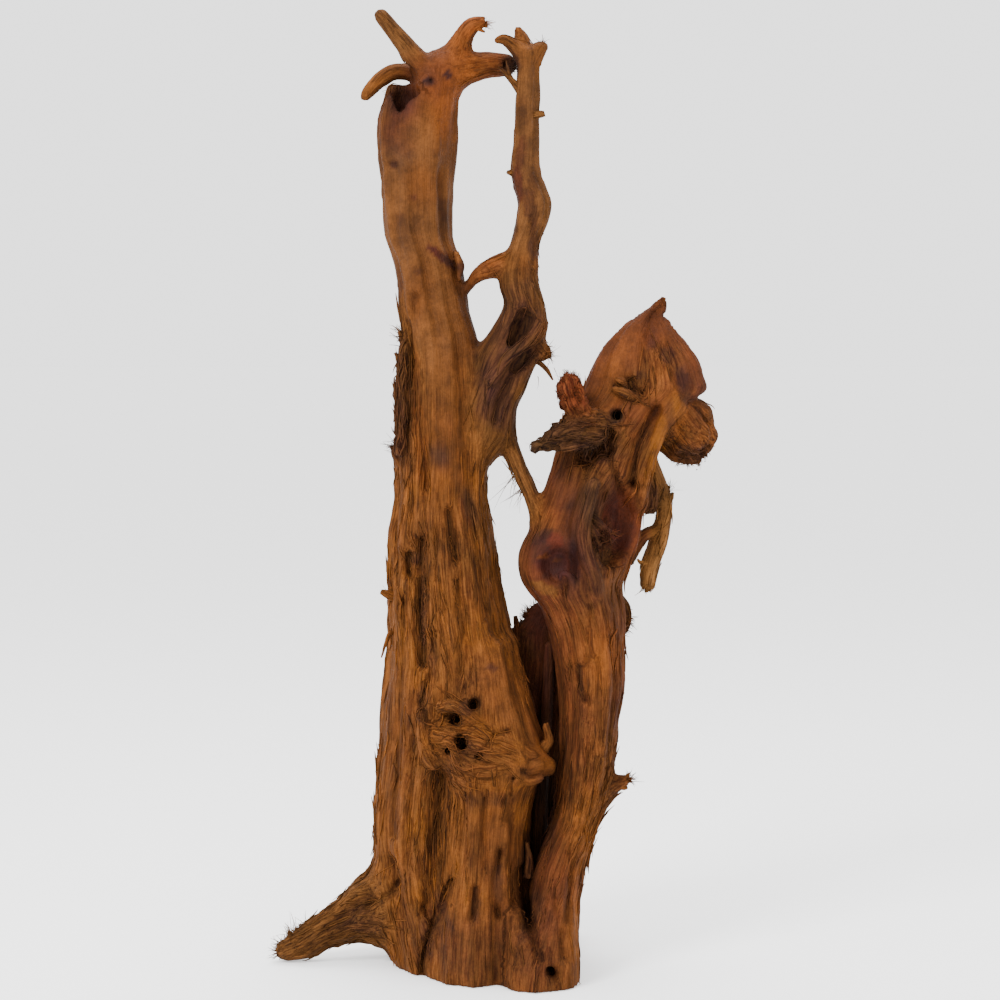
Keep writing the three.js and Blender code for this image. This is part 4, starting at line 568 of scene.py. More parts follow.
def smooth_chain(pts):
    """Three steps a span along a centripetal curve through the points."""
    nodes, radius, depth = [], [], []
    last = len(pts) - 1
    for j in range(last):
        p1, p2 = pts[j, :3], pts[j + 1, :3]
        p0 = pts[j - 1, :3] if j else 2 * p1 - p2
        p3 = pts[j + 2, :3] if j + 2 <= last else 2 * p2 - p1
        d0, d1, d2 = (max(np.linalg.norm(b - a) ** 0.5, 1e-4) for a, b in ((p0, p1), (p1, p2), (p2, p3)))
        t1 = ((p1 - p0) / d0 - (p2 - p0) / (d0 + d1) + (p2 - p1) / d1) * d1
        t2 = ((p2 - p1) / d1 - (p3 - p1) / (d1 + d2) + (p3 - p2) / d2) * d1
        for k in range(3 + (j == last - 1)):
            t = k / 3
            nodes.append(
                p1 + t1 * t + (-3 * p1 + 3 * p2 - 2 * t1 - t2) * t**2 + (2 * p1 - 2 * p2 + t1 + t2) * t**3
            )
            radius.append(pts[j, 3] + (pts[j + 1, 3] - pts[j, 3]) * t)
            depth.append(pts[j, 4] + (pts[j + 1, 4] - pts[j, 4]) * t)
    return np.array(nodes), np.array(radius), np.array(depth)


class Chain:
    """A limb or a hollow: a smooth chain of oval points."""

    def __init__(self, name, blend, points, start=0.0):
        self.name, self.blend = name, blend
        self.nodes, self.radius, self.depth = smooth_chain(rounds(points))
        reach = np.maximum(self.radius, self.depth)[:, None] + BAND
        self.low, self.high = (self.nodes - reach).min(0), (self.nodes + reach).max(0)
        steps = np.linalg.norm(np.diff(self.nodes, axis=0), axis=1)
        self.along = np.concatenate([[0], np.cumsum(steps)]) + start

    def near(self, p):
        return np.flatnonzero(((p > self.low) & (p < self.high)).all(1))

    def closest(self, p):
        best = np.full(len(p), np.inf)
        which = np.zeros(len(p), int)
        part = np.zeros(len(p))
        flat = self.radius / self.depth
        for i in range(len(self.nodes) - 1):
            a, e = self.nodes[i], self.nodes[i + 1] - self.nodes[i]
            t = np.clip((p - a) @ e / (e @ e), 0, 1)
            off = p - a - t[:, None] * e
            f = flat[i] + (flat[i + 1] - flat[i]) * t
            d = np.sqrt(off[:, 0] ** 2 + (off[:, 1] * f) ** 2 + off[:, 2] ** 2)
            d -= self.radius[i] + (self.radius[i + 1] - self.radius[i]) * t
            better = d < best
            best[better], which[better], part[better] = d[better], i, t[better]
        return best, which, part

    def field(self, p):
        return self.closest(p)[0]

    def grain(self, p):
        """Position across, into and along the grain, and the direction the grain runs in."""
        _, which, part = self.closest(p)
        a, e = self.nodes[which], self.nodes[which + 1] - self.nodes[which]
        run = e / np.linalg.norm(e, axis=1)[:, None]
        off = p - a - part[:, None] * e
        side = unit(np.stack([run[:, 2], np.zeros(len(p)), -run[:, 0]], 1))
        along = self.along[which] + part * np.linalg.norm(e, axis=1)
        return np.stack([(off * side).sum(1), off[:, 1], along], 1), run


stems = [Stem(name, *values) for name, values in STEMS.items()]
limbs = [
    Chain(name, *values, start=60.0 * i) for i, (name, values) in enumerate({**LIMBS, **FINE_LIMBS}.items())
]
outer_limbs = [limb for limb in limbs if limb.name not in INNER_LIMBS]
inner_limbs = [limb for limb in limbs if limb.name in INNER_LIMBS]
hollows = [Chain(name, *values) for name, values in {**HOLLOWS, **FINE_HOLLOWS}.items()]
furrows = (
    [(FRONT, *furrow) for furrow in FRONT_FURROWS] + [(BACK, *furrow) for furrow in BACK_FURROWS]
    + [(FRONT, *furrow) for furrow in FINE_FURROWS]
)


def path_distance(path, x, z):
    best = np.full(len(x), np.inf)
    for (ax, az), (bx, bz) in zip(path, path[1:]):
        ex, ez = bx - ax, bz - az
        t = np.clip(((x - ax) * ex + (z - az) * ez) / (ex * ex + ez * ez), 0, 1)
        best = np.minimum(best, np.hypot(x - ax - ex * t, z - az - ez * t))
    return best


def furrow_depth(p):
    depth = np.zeros(len(p))
    for facing, path, width, deep, reach in furrows:
        xs, zs = [q[0] for q in path], [q[1] for q in path]
        beyond = facing * (p[:, 1] - reach)
        room = 2.5 * width
        i = np.flatnonzero(
            (beyond > 0) & (p[:, 0] > min(xs) - room) & (p[:, 0] < max(xs) + room)
            & (p[:, 2] > min(zs) - room) & (p[:, 2] < max(zs) + room)
        )
        if len(i):
            away = path_distance(path, p[i, 0], p[i, 2])
            depth[i] += deep * np.exp(-((away / width) ** 2)) * np.minimum(beyond[i] / 6, 1)
    return depth


def join(f, p, parts):
    for part in parts:
        i = part.near(p)
        if len(i):
            f[i] = smooth_min(f[i], part.field(p[i]), part.blend)


def wood(p):
    """Signed field of the wood, negative inside."""
    f = np.full(len(p), 60.0)
    for stem in stems:
        i = np.flatnonzero(p[:, 2] < stem.top + BAND)
        f[i] = smooth_min(f[i], stem.field(p[i]), stem.blend)
    join(f, p, outer_limbs)
    for hollow in hollows:
        i = hollow.near(p)
        i = i[np.abs(f[i]) < BAND]
        if len(i):
            f[i] = smooth_max(f[i], -hollow.field(p[i]), hollow.blend)
    join(f, p, inner_limbs)
    i = np.flatnonzero(np.abs(f) < BAND)
    f[i] += furrow_depth(p[i])
    return np.maximum(f, -p[:, 2])


def slope(field, p, step=0.5):
    return unit(np.stack([field(p + step * axis) - field(p - step * axis) for axis in np.eye(3)], 1))


def shelter(p, normal):
    """How much nearby wood shuts a point of the surface in: 0 in the open, 1 deep in a gap."""
    helper = np.where(np.abs(normal[:, 2:]) < 0.8, [0.0, 0.0, 1.0], [1.0, 0.0, 0.0])
    across = unit(np.cross(normal, helper))
    beside = np.cross(normal, across)
    total = np.zeros(len(p))
    for turn in np.arange(6) * math.pi / 3:
        way = 0.6 * normal + 0.8 * (math.cos(turn) * across + math.sin(turn) * beside)
        for reach in (6, 14, 28):
            total += np.clip(1 - wood(p + way * reach) / (0.6 * reach), 0, 1) / 18
    return total


# Smooth random noise, about -1 to 1.
SHUFFLE = rng.permutation(256)
TILTS = rng.normal(size=(256, 3))
TILTS /= np.linalg.norm(TILTS, axis=1)[:, None]
CORNERS = [(dx, dy, dz) for dx in (0, 1) for dy in (0, 1) for dz in (0, 1)]


def noise(p, shift=0.0):
    p = p + shift
    cell = np.floor(p).astype(np.int64)
    f = p - cell
    u = f * f * f * (f * (f * 6 - 15) + 10)
    total = np.zeros(len(p))
    for corner in CORNERS:
        h, weight = 0, 1
        for axis, d in enumerate(corner):
            h = SHUFFLE[(h + cell[:, axis] + d) & 255]
            weight = weight * (u[:, axis] if d else 1 - u[:, axis])
        total += weight * ((f - corner) * TILTS[h]).sum(1)
    return total * 1.5


def draw_wood():
    """Closed skin of quads through the field, drawn only in blocks near the surface."""
    side = 8
    block = side * VOXEL
    low, high = np.array([-156.0, -99.0, -10.0]), np.array([156.0, 138.0, 618.0])
    count = np.ceil((high - low) / block).astype(int)
    grid = np.stack(np.meshgrid(*[np.arange(n + 1) for n in count], indexing="ij"), -1).reshape(-1, 3)
    coarse = wood(low + grid * block).reshape(count + 1)
    values = np.where(coarse < 0, -6.0, 6.0).repeat(side, 0).repeat(side, 1).repeat(side, 2)
    close = np.abs(coarse) < block * 1.15
    near = np.zeros(count + 1, bool)
    for dx, dy, dz in CORNERS:
        near[:-1, :-1, :-1] |= close[dx:count[0] + dx, dy:count[1] + dy, dz:count[2] + dz]
    cells = np.argwhere(near)
    inner = np.stack(np.meshgrid(*[np.arange(side)] * 3, indexing="ij"), -1).reshape(-1, 3)
    for start in range(0, len(cells), 600):
        ijk = (cells[start:start + 600, None] * side + inner).reshape(-1, 3)
        values[ijk[:, 0], ijk[:, 1], ijk[:, 2]] = np.clip(wood(low + ijk * VOXEL), -6, 6)
    skin = openvdb.FloatGrid(6.0)
    skin.copyFromArray(values.astype(np.float32))
    points, quads = skin.convertToQuads(isovalue=0.0)
    return points.astype(float) * VOXEL + low, quads[:, ::-1]


def settle(points):
    """Moves points onto the zero of the field."""
    for _ in range(2):
        points = points - slope(wood, points) * np.clip(wood(points), -1.5, 1.5)[:, None] * 0.8
    return points


def rgb(code):
    """Linear colour of an sRGB hex code."""
    v = np.array([int(code[i:i + 2], 16) for i in (0, 2, 4)]) / 255
    return np.where(v <= 0.04045, v / 12.92, ((v + 0.055) / 1.055) ** 2.4)


TONE = {
    "trunk": rgb("4B2D14"), "ochre": rgb("4C280B"), "tan": rgb("512904"), "rust": rgb("522704"),
    "umber": rgb("251004"), "char": rgb("110703"), "plum": rgb("2E1007"), "grey": rgb("231711"),
    "bark": rgb("3D2005"), "red": rgb("451903"), "wall": rgb("3A1906"), "gold": rgb("60350B"),
    "russet": rgb("3E1C03"), "pale": rgb("5E3D1E"),
}
slot_of = {name: slot for slot, names in GRAIN_SLOTS.items() for name in names.split()}
tone_of = {name: tone for tone, names in PART_TONES.items() for name in names.split()}


def grain_of(p):
    """Grain position for each of three fields with its weight, then the strongest part's grain direction
    and name, and the colour blended from the parts around."""
    parts = stems + limbs
    fields = np.full((len(parts), len(p)), 99.0)
    for k, part in enumerate(parts):
        i = part.near(p)
        if len(i):
            fields[k, i] = part.field(p[i])
    weights = np.exp(-(fields - fields.min(0)) / 1.6)
    coords = np.zeros((3, len(p), 3))
    share = np.zeros((3, len(p)))
    for slot in range(3):
        members = [k for k, part in enumerate(parts) if slot_of.get(part.name, 0) == slot]
        share[slot] = weights[members].max(0)
        top = np.array(members)[fields[members].argmin(0)]
        for k in members:
            i = np.flatnonzero(top == k)
            if len(i):
                coords[slot, i] = parts[k].grain(p[i])[0]
                coords[slot, i, 0] += 37.0 * k
    share /= share.sum(0)
    best = fields.argmin(0)
    nearest = fields[best, np.arange(len(p))]
    run, base, total = np.zeros((len(p), 3)), np.zeros((len(p), 3)), np.zeros(len(p))
    for k, part in enumerate(parts):
        i = np.flatnonzero(best == k)
        if len(i):
            run[i] = part.grain(p[i])[1]
        weight = np.exp(-(fields[k] - nearest) / 3.5)
        base += weight[:, None] * TONE[tone_of.get(part.name, "ochre")]
        total += weight
    return coords, share, run, np.array([part.name for part in parts])[best], base / total[:, None]


def spot(p, x, z, rx, rz, lean=0.0):
    """A soft-edged oval patch, 1 at its middle."""
    dx, dz = p[:, 0] - x, p[:, 2] - z
    c, s = math.cos(math.radians(lean)), math.sin(math.radians(lean))
    away = ((dx * c + dz * s) / rx) ** 2 + ((dz * c - dx * s) / rz) ** 2
    return np.exp(-(away**1.5))


def ridge(g, wide, long, shift):
    """Noise drawn out along the grain."""
    return noise(np.stack([g[:, 0] / wide, g[:, 1] / wide, g[:, 2] / long], 1), shift)


def relief(p, coords, share, names):
    """Height of the weathered surface over the smooth form, in millimetres, and how fibrous it is."""
    fibre = np.full(len(p), 0.62)
    for x, z, rx, rz, amount, *lean in SMOOTH:
        fibre -= amount * 0.62 * spot(p, x, z, rx, rz, *lean)
    fibre = np.clip(fibre, 0.06, 1)
    for x, z, rx, rz, amount, *lean in ROUGH:
        fibre += amount * 0.4 * spot(p, x, z, rx, rz, *lean)
    fibre = np.clip(fibre, 0.06, 1.15)
    slim = np.isin(names, SLIM_PARTS.split())
    fibre = np.where(slim, np.minimum(fibre, 0.5), fibre)
    height = np.zeros(len(p))
    for slot in range(3):
        g = coords[slot].copy()
        g[:, 0] += 3.2 * ridge(g, 26, 42, 11.3)
        wide = 1 - 2 * np.abs(ridge(g, 13, 120, 3.1))
        mid = 1 - 2 * np.abs(ridge(g, 6.5, 70, 17.7))
        fine = ridge(g, 3.6, 34, 29.9)
        crack = np.clip(ridge(g, 8, 60, 41.3) - 0.42, 0, 1)
        height += share[slot] * (0.9 * wide + 0.75 * mid + 0.45 * fine - 7 * crack)
    lumps = noise(p / 15, 5.5) * 0.9 + noise(p / 7, 8.8) * 0.35
    tufts = noise(p / np.array([3.4, 3.4, 6]), 71.2) * np.clip(fibre - 0.7, 0, 1) * 2.4
    # Ledges where rot has lifted the wood in layers, and crumbs on the torn parts.
    drawn = np.stack([p[:, 0] / 6, p[:, 1] / 6, p[:, 2] / 26], 1)
    layers = noise(drawn + 0.4 * noise(p / 9, 3.9)[:, None], 54.0) * 3.2
    step = layers - np.floor(layers)
    ledge = np.floor(layers) + np.clip((step - 0.7) / 0.3, 0, 1)
    tufts = tufts + ledge * 0.55 * np.clip(fibre - 0.5, 0, 0.6)
    crumbs = noise(p / 5.2, 33.1) * 3.4 + noise(p / 2.6, 15.6) * 1.8
    tufts = tufts + crumbs * np.isin(names, CRUMBLY_PARTS.split())
    height = height * (0.22 + 1.05 * fibre) * np.where(slim, 0.5, 1)
    height = height + lumps * np.where(slim, 0.4, 0.8) + tufts
    return height * np.clip(p[:, 2] / 6, 0, 1), fibre


def stray(p, scale, amount, shift_x, shift_z):
    """Points moved by noise in x and z, so that an edge read there wanders."""
    moved = p.copy()
    moved[:, 0] += noise(p / scale, shift_x) * amount
    moved[:, 2] += noise(p / scale, shift_z) * amount
    return moved


def tint(p, base, low):
    """Broad colour of the wood at each point; low is how deep in a hollow or furrow it lies, painted in as
    shade.
    """
    weathered = np.clip((p[:, 1] - 14) / 16, 0, 0.85)[:, None]
    colour = base + (TONE["ochre"] * 0.92 - base) * weathered
    front = p[:, 1] < FRONT_DEPTH
    wander, ragged = stray(p, 24, 5, 2.2, 6.6), stray(p, 4.2, 1.7, 1.7, 8.3)
    for table in (STAINS, MARKS):
        for tone, *ovals in table:
            for x, z, rx, rz, strength, *lean in ovals:
                if table is MARKS or min(rx, rz) <= CRISP_SIZE:
                    mask = np.clip(spot(ragged, x, z, rx, rz, *lean) * 2.6 - 0.55, 0, 1)
                else:
                    mask = spot(wander, x, z, rx, rz, *lean)
                colour += (TONE[tone] - colour) * (mask * strength * front)[:, None]
    # Painted shade: low places are darkened towards umber.
    colour += (TONE["umber"] - colour) * (np.clip(low, 0, 1) * 0.66)[:, None]
    patchy = noise(p / 38, 9.1) * 0.3 + noise(p / np.array([12, 12, 30]), 3.3) * 0.24
    patchy = patchy + noise(p / 6, 7.1) * 0.12
    colour *= (1 + patchy)[:, None]
    return np.clip(colour, 0.004, 0.9)


def hollow_share(p):
    """1 on the walls of a hollow, less on open ones, fading to 0 over RIM from them; drives painted shade.
    """
    share = np.zeros(len(p))
    for hollow in hollows:
        i = hollow.near(p)
        if len(i):
            depth = 0.2 if hollow.name in OPEN_HOLLOWS else 1.0
            share[i] = np.maximum(share[i], np.clip(1 - hollow.field(p[i]) / RIM, 0, 1) * depth)
    return share


def node(tree, kind, **values):
    made = tree.nodes.new(kind)
    for key, value in values.items():
        setattr(made, key, value)
    return made


def noise_texture(tree, vector, **values):
    made = node(tree, "ShaderNodeTexNoise")
    for key, value in values.items():
        made.inputs[key].default_value = value
    tree.links.new(vector, made.inputs["Vector"])
    return made.outputs["Fac"]


def grain_group():
    """Texture of one grain field: fine lines, broad streaks and checks, from a grain position in cm."""
    group = bpy.data.node_groups.new("grain_texture", "ShaderNodeTree")
    group.interface.new_socket("Vector", in_out="INPUT", socket_type="NodeSocketVector")
    textures = (
        ("Lines", (9.0, 9.0, 0.55), 4.0, 0.68, 0.35, 0.0),
        ("Streaks", (2.4, 2.4, 0.16), 3.0, 0.6, 0.5, 13.0),
        ("Checks", (4.6, 4.6, 0.30), 2.0, 0.5, 0.4, 31.0),
    )
    for name, *_ in textures:
        group.interface.new_socket(name, in_out="OUTPUT", socket_type="NodeSocketFloat")
    into, out = node(group, "NodeGroupInput"), node(group, "NodeGroupOutput")
    for name, scale, detail, rough, warp, place in textures:
        mapping = node(group, "ShaderNodeMapping")
        mapping.inputs["Scale"].default_value = scale
        mapping.inputs["Location"].default_value = (place, place, place)
        group.links.new(into.outputs["Vector"], mapping.inputs["Vector"])
        texture = noise_texture(
            group, mapping.outputs["Vector"], Scale=1.0, Detail=detail, Roughness=rough, Distortion=warp
        )
        group.links.new(texture, out.inputs[name])
    return group


def attribute(tree, name, socket="Fac"):
    return node(tree, "ShaderNodeAttribute", attribute_name=name).outputs[socket]


def calc(tree, operation, *values, clamp=False):
    made = node(tree, "ShaderNodeMath", operation=operation, use_clamp=clamp)
    for socket, value in zip(made.inputs, values):
        if isinstance(value, (int, float)):
            socket.default_value = value
        else:
            tree.links.new(value, socket)
    return made.outputs[0]


def ramp(tree, value, low, high, out_low=0.0, out_high=1.0):
    made = node(tree, "ShaderNodeMapRange", interpolation_type="SMOOTHSTEP")
    tree.links.new(value, made.inputs["Value"])
    for key, number in (("From Min", low), ("From Max", high), ("To Min", out_low), ("To Max", out_high)):
        made.inputs[key].default_value = number
    return made.outputs["Result"]


def over(tree, factor, below, colour):
    """A flat colour laid over another by a factor."""
    made = node(tree, "ShaderNodeMix", data_type="RGBA", blend_type="MIX")
    sockets = {socket.name: socket for socket in made.inputs if socket.type == "RGBA"}
    tree.links.new(factor, made.inputs["Factor"])
    tree.links.new(below, sockets["A"])
    sockets["B"].default_value = (*colour, 1.0)
    return next(socket for socket in made.outputs if socket.type == "RGBA")


def wood_material():
    """Bare weathered wood, led by the values that dress() gives each point."""
    material = bpy.data.materials.new("weathered_wood")
    material.use_nodes = True
    tree = material.node_tree
    shader = tree.nodes["Principled BSDF"]

    def times(a, b):
        return calc(tree, "MULTIPLY", a, b)

    def plus(a, b):
        return calc(tree, "ADD", a, b)

    def swing(value, more, least):
        """Gain about 1 that swings further where the wood is rugged."""
        size = calc(tree, "MULTIPLY_ADD", ruggedness, more, least)
        return calc(tree, "MULTIPLY_ADD", calc(tree, "SUBTRACT", value, 0.5), size, 1.0)

    group = grain_group()
    share_b, share_c = attribute(tree, "share_b"), attribute(tree, "share_c")
    share_a = calc(tree, "SUBTRACT", calc(tree, "SUBTRACT", 1.0, share_b), share_c, clamp=True)
    mixed = {}
    for key, share in (("grain_a", share_a), ("grain_b", share_b), ("grain_c", share_c)):
        grain = node(tree, "ShaderNodeGroup", node_tree=group)
        tree.links.new(attribute(tree, key, "Vector"), grain.inputs["Vector"])
        for name in ("Lines", "Streaks", "Checks"):
            part = times(grain.outputs[name], share)
            mixed[name] = part if name not in mixed else plus(mixed[name], part)
    fibre = attribute(tree, "fibre")
    place = node(tree, "ShaderNodeTexCoord").outputs["Object"]
    mottle = noise_texture(tree, place, Scale=90.0, Detail=5.0, Roughness=0.62)
    crumbs = noise_texture(tree, place, Scale=520.0, Detail=3.0, Roughness=0.7)
    lines = ramp(tree, mixed["Lines"], 0.34, 0.66)
    streaks = ramp(tree, mixed["Streaks"], 0.32, 0.68)
    checks = times(ramp(tree, mixed["Checks"], 0.40, 0.31), ramp(tree, fibre, 0.15, 0.8, 0.06, 1.0))
    # Colour: broad streaks, then fine lines, then checks, then painted shade in the low places.
    ruggedness = ramp(tree, fibre, 0.1, 0.75)
    gain = times(swing(streaks, 0.5, 0.16), swing(lines, 0.62, 0.12))
    gain = times(gain, ramp(tree, mottle, 0.3, 0.7, 0.72, 1.26))
    gain = times(gain, ramp(tree, crumbs, 0.3, 0.7, 0.82, 1.16))
    gain = times(gain, ramp(tree, crumbs, 0.6, 0.68, 1.0, 0.62))
    bright = node(tree, "ShaderNodeVectorMath", operation="SCALE")
    tree.links.new(attribute(tree, "tone", "Color"), bright.inputs[0])
    tree.links.new(gain, bright.inputs["Scale"])
    warm = over(tree, times(lines, times(ruggedness, 0.14)), bright.outputs[0], (0.3, 0.13, 0.03))
    dark = over(tree, times(checks, 0.6), warm, (0.02, 0.007, 0.003))
    # Painted shade: low places darkened towards near black.
    low = ramp(tree, attribute(tree, "low"), 0.45, 1.3, 0.0, 0.75)
    tree.links.new(over(tree, low, dark, (0.014, 0.005, 0.003)), shader.inputs["Base Color"])
    matt = plus(ramp(tree, fibre, 0.0, 0.7, 0.55, 0.9), times(lines, -0.08))
    tree.links.new(matt, shader.inputs["Roughness"])
    shader.inputs["Specular IOR Level"].default_value = 0.06
    height = times(mixed["Lines"], ramp(tree, fibre, 0.0, 1.0, 0.35, 1.0))
    for source, amount in ((mixed["Streaks"], 0.9), (checks, -0.9), (crumbs, 0.25)):
        height = plus(height, times(source, amount))
    bump = node(tree, "ShaderNodeBump")
    bump.inputs["Strength"].default_value = 1.0
    bump.inputs["Distance"].default_value = 0.0016
    tree.links.new(height, bump.inputs["Height"])
    tree.links.new(bump.outputs["Normal"], shader.inputs["Normal"])
    return material


weathered_wood = wood_material()


def new_mesh(name, points, faces):
    mesh = bpy.data.meshes.new(name)
    mesh.from_pydata((points * MM).tolist(), [], faces.tolist())
    mesh.validate()
    mesh.update()
    mesh.polygons.foreach_set("use_smooth", np.ones(len(mesh.polygons), bool))
    mesh.materials.append(weathered_wood)
    piece = bpy.data.objects.new(name, mesh)
    bpy.context.scene.collection.objects.link(piece)
    return piece


def give(mesh, name, kind, values):
    layer = mesh.attributes.new(name, kind, "POINT")
    key = {"FLOAT": "value", "FLOAT_VECTOR": "vector", "FLOAT_COLOR": "color"}[kind]
    layer.data.foreach_set(key, np.ascontiguousarray(values, dtype=np.float32).ravel())


def dress(piece, p, coords, share, base, low, fibre, shade):
    """Gives each point what the material reads: grain in cm, its shares, how fibrous, how low, and tone."""
    for letter, grain in zip("abc", coords):
        give(piece.data, f"grain_{letter}", "FLOAT_VECTOR", grain * 0.1)
    for name, values in (("share_b", share[1]), ("share_c", share[2]), ("fibre", fibre), ("low", low)):
        give(piece.data, name, "FLOAT", values)
    colour = tint(p, base, low) * shade
    give(piece.data, "tone", "FLOAT_COLOR", np.concatenate([colour, np.ones((len(p), 1))], 1))


def make_body():
    points, quads = draw_wood()
    points = settle(points)
    coords, share, run, names, base = grain_of(points)
    height, fibre = relief(points, coords, share, names)
    hollow = hollow_share(points)
    normal = slope(wood, points, 1.2)
    # How shut in each point is, which paints shade into the tone below.
    occlusion_shade = np.clip((shelter(points, normal) - 0.08) / 0.6, 0, 1)[:, None]
    height *= 1 - 0.6 * hollow
    moved = points + normal * np.clip(height, DEEPEST, HIGHEST)[:, None]
    moved[:, 2] = np.where(points[:, 2] < 0.3, 0, np.maximum(moved[:, 2], 0.0))
    # How low each point lies in hollows, furrows and dips of the relief, less on raised parts; it is
    # painted in as shade.
    low = (
        0.75 * hollow + np.clip(furrow_depth(points) / 5, 0, 1) * 0.6
        + np.clip(height / DEEPEST, 0, 1) * 0.9 - np.clip(height / 5, 0, 0.3)
    )
    body = new_mesh("wood_body", moved, quads)
    # Painted shade: wood shut in by nearby wood is darker and redder, as baked ambient occlusion.
    dress(body, points, coords, share, base, low, fibre, 1 - occlusion_shade * np.array([0.52, 0.61, 0.66]))
    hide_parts("driftwood")
    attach(body, "root")
    return moved, normal, run, fibre


def sticks(paths, radii, sides):
    """Points and faces of tapered sticks through paths (count, steps, 3)."""
    count, steps, _ = paths.shape
    run = unit(np.gradient(paths, axis=1), 2)
    helper = np.where(np.abs(run[..., 1:2]) < 0.9, [0.0, 1.0, 0.0], [1.0, 0.0, 0.0])
    across = unit(np.cross(run, helper), 2)
    beside = np.cross(run, across)
    turn = (2 * np.pi * np.arange(sides) / sides)[:, None]
    spokes = np.cos(turn) * across[:, :, None] + np.sin(turn) * beside[:, :, None]
    ring = paths[:, :, None] + radii[:, :, None, None] * spokes
    base = (np.arange(count) * steps * sides)[:, None, None]
    row = (np.arange(steps - 1) * sides)[None, :, None]
    this = np.arange(sides)[None, None, :]
    following = (this + 1) % sides
    corners = (row + this, row + following, row + following + sides, row + this + sides)
    return ring.reshape(-1, 3), np.stack([base + corner for corner in corners], -1).reshape(-1, 4)


def finish_sticks(name, paths, radii, shade, sides=4, fibre=0.7):
    """One mesh of sticks, each with its own grain and the colour of the wood it grows from."""
    points, quads = sticks(paths, radii, sides)
    piece = new_mesh(name, points, quads)
    centre = paths.reshape(-1, 3)
    base = grain_of(centre)[4].repeat(sides, 0)
    turn = 2 * np.pi * np.arange(sides) / sides
    along = np.cumsum(np.linalg.norm(np.diff(paths, axis=1, prepend=paths[:, :1]), axis=2), 1)
    own = (13.0 * np.arange(len(paths)))[:, None, None]
    around = [own + radii[..., None] * np.cos(turn), radii[..., None] * np.sin(turn), along[..., None]]
    coords = np.zeros((3, len(points), 3))
    coords[0] = np.stack([np.broadcast_to(a, (*radii.shape, sides)).ravel() for a in around], 1)
    share = np.zeros((3, len(points)))
    share[0] = 1
    each = np.repeat(shade, paths.shape[1] * sides)[:, None]
    flat = np.zeros(len(points))
    dress(piece, centre.repeat(sides, 0), coords, share, base, flat, flat + fibre, each)
    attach(piece, "root")


def grow_fibres(points, normal, run, chance, count, steps, stride, size, lift, seed):
    """Fibres that follow the grain over the surface from random points, their free ends lifted."""
    dice = np.random.default_rng(seed)
    pick = dice.choice(len(points), count, p=chance / chance.sum())
    here = points[pick] + dice.normal(0, 0.6, (count, 3))
    way = np.where(dice.random(count) < 0.5, 1.0, -1.0)[:, None]
    heading = run[pick] * way
    length = dice.uniform(0.5, 1.0, count)[:, None]
    paths = [here]
    for _ in range(1, steps):
        heading = heading + dice.normal(0, 0.07, (count, 3))
        heading /= np.linalg.norm(heading, axis=1)[:, None]
        here = here + heading * stride * length
        n = slope(wood, here, 1.0)
        heading -= n * (heading * n).sum(1)[:, None]
        here = here - n * np.clip(wood(here), -2, 2)[:, None]
        coords, share, _, names, _ = grain_of(here)
        height, _ = relief(here, coords, share, names)
        paths.append(here + n * np.clip(height, DEEPEST, HIGHEST)[:, None])
    paths = np.stack(paths, 1)
    t = np.linspace(0, 1, steps)
    rise = dice.uniform(0.0, 1.0, count) ** 3 * lift
    out = normal[pick][:, None] * (rise[:, None] * t[None] ** 2.5)[..., None]
    swell = np.clip(np.sin(np.pi * (0.08 + 0.9 * t)), 0, 1) ** 0.6
    thick = size * dice.uniform(0.5, 1.2, count)[:, None] * swell[None]
    paths = paths + out + normal[pick][:, None] * 0.15
    paths[..., 2] = np.maximum(paths[..., 2], 0.6)
    return paths, np.maximum(thick, 0.05), dice.uniform(0.7, 1.35, count)


def make_twigs(steps=13):
    paths, radii = [], []
    for stick in TWIGS.values():
        centre, size, _ = smooth_chain(rounds(stick))
        at = np.linspace(0, len(centre) - 1, steps)
        path = np.stack([np.interp(at, np.arange(len(centre)), centre[:, k]) for k in range(3)], 1)
        wobble = np.stack([noise(path / 3.0, 10.0 * k + 1.7) for k in range(3)], 1) * 0.35
        paths.append(path + wobble)
        radii.append(np.interp(at, np.arange(len(size)), size) * 0.95)
    return np.array(paths), np.array(radii)


def make_tufts(steps=7):
    paths, radii, shade = [], [], []
    t = np.linspace(0, 1, steps)
    for x, y, z, spread, count, length, heading, seed in TUFTS:
        dice = np.random.default_rng(seed)
        start = np.array([x, y, z]) + dice.normal(0, 0.5, (count, 3)) * spread
        n = slope(wood, start, 1.0)
        for _ in range(3):
            start = start - n * np.clip(wood(start), -4, 4)[:, None]
            n = slope(wood, start, 1.0)
        way = np.array(heading, float) + n * 0.5 + dice.normal(0, 0.45, (count, 3))
        way /= np.linalg.norm(way, axis=1)[:, None]
        bend = dice.normal(0, 0.5, (count, 3))
        long = length * dice.uniform(0.35, 1.2, count)
        reach = (t[None] * long[:, None])[..., None]
        path = start[:, None] - n[:, None] * 0.4 + way[:, None] * reach
        path = path + bend[:, None] * reach * t[None, :, None]
        path[..., 2] = np.maximum(path[..., 2], 0.5)
        paths.append(path)
        size = dice.uniform(0.14, 0.42, count) if count < 45 else dice.uniform(0.2, 0.6, count)
        radii.append(size[:, None] * (1 - 0.8 * t)[None])
        shade.append(dice.uniform(0.55, 1.3, count))
    return np.concatenate(paths), np.concatenate(radii), np.concatenate(shade)


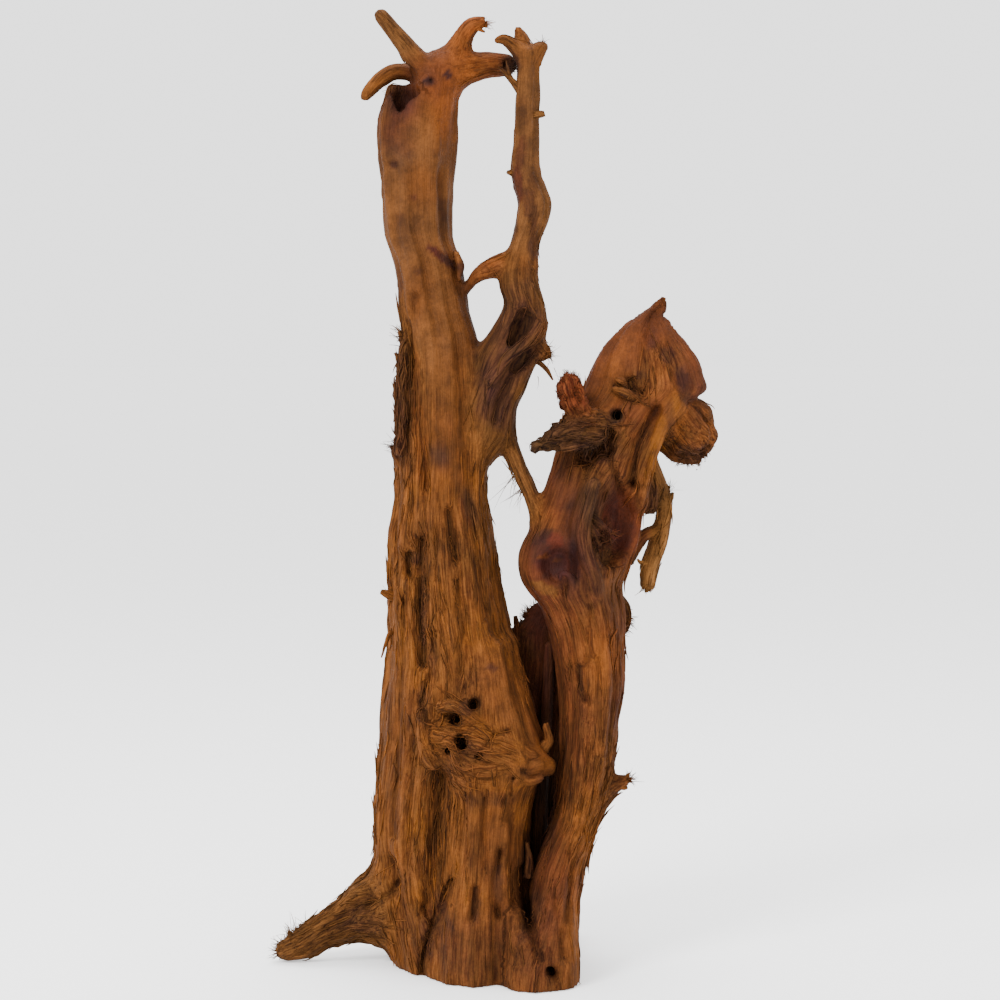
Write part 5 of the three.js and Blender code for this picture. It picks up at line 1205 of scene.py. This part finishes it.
skin, skin_normal, skin_run, skin_fibre = make_body()
twig_paths, twig_radii = make_twigs()
finish_sticks("twigs", twig_paths, twig_radii, np.ones(len(twig_paths)), sides=8)
rough = np.clip(skin_fibre - 0.35, 0, 1) ** 1.6 * (skin[:, 2] > 3) + 1e-9
fibres = grow_fibres(
    skin, skin_normal, skin_run, rough, FIBRES, steps=8, stride=3.2, size=0.55, lift=3.0, seed=11
)
finish_sticks("fibres", *fibres)
finish_sticks("root_hairs", *make_tufts(), sides=3, fibre=0.6)

# Camera at the photograph's place. The focal length is in pixels of a picture 1000 wide.
CAMERA_AWAY, CAMERA_HIGH, CAMERA_DROP = 1.8, 0.42, 0.12
FOCAL, WIDTH = 2814.09, 1000
camera_data = bpy.data.cameras.new("camera")
camera = bpy.data.objects.new("camera", camera_data)
bpy.context.scene.collection.objects.link(camera)
camera_data.sensor_width = 36
camera_data.lens = camera_data.sensor_width * FOCAL / WIDTH
camera.location = (0.00096, -CAMERA_AWAY, CAMERA_HIGH)
camera.rotation_euler = (math.pi / 2 - math.atan2(CAMERA_DROP, CAMERA_AWAY), 0, 0)
bpy.context.scene.camera = camera

# Paper floor and soft studio light.
bpy.ops.mesh.primitive_plane_add(size=40, location=(0, 0, -0.0004))
floor = bpy.context.object
floor.name = "floor"
floor_material = bpy.data.materials.new("floor_paper")
floor_material.use_nodes = True
paper = floor_material.node_tree.nodes["Principled BSDF"]
paper.inputs["Base Color"].default_value = (0.82, 0.82, 0.82, 1)
paper.inputs["Roughness"].default_value = 0.9
paper.inputs["Emission Color"].default_value = (1, 1, 1, 1)
paper.inputs["Emission Strength"].default_value = 0.4
floor.data.materials.append(floor_material)

world = bpy.data.worlds.new("studio")
bpy.context.scene.world = world
world.use_nodes = True
world.node_tree.nodes["Background"].inputs["Color"].default_value = (1.0, 1.0, 1.0, 1)
world.node_tree.nodes["Background"].inputs["Strength"].default_value = 2.3


def soft_light(name, place, aim, size, power):
    data = bpy.data.lights.new(name, "AREA")
    data.shape, data.size, data.energy = "SQUARE", size, power
    light = bpy.data.objects.new(name, data)
    light.location = place
    light.rotation_euler = (Vector(place) - Vector(aim)).to_track_quat("Z", "Y").to_euler()
    bpy.context.scene.collection.objects.link(light)


soft_light("key", (-1.1, -1.5, 1.5), (0, 0, 0.3), 0.7, 72)
soft_light("fill", (1.4, -1.3, 0.8), (0, 0, 0.3), 1.0, 9)
soft_light("top", (0.1, 0.4, 1.7), (0, 0, 0.35), 0.9, 24)
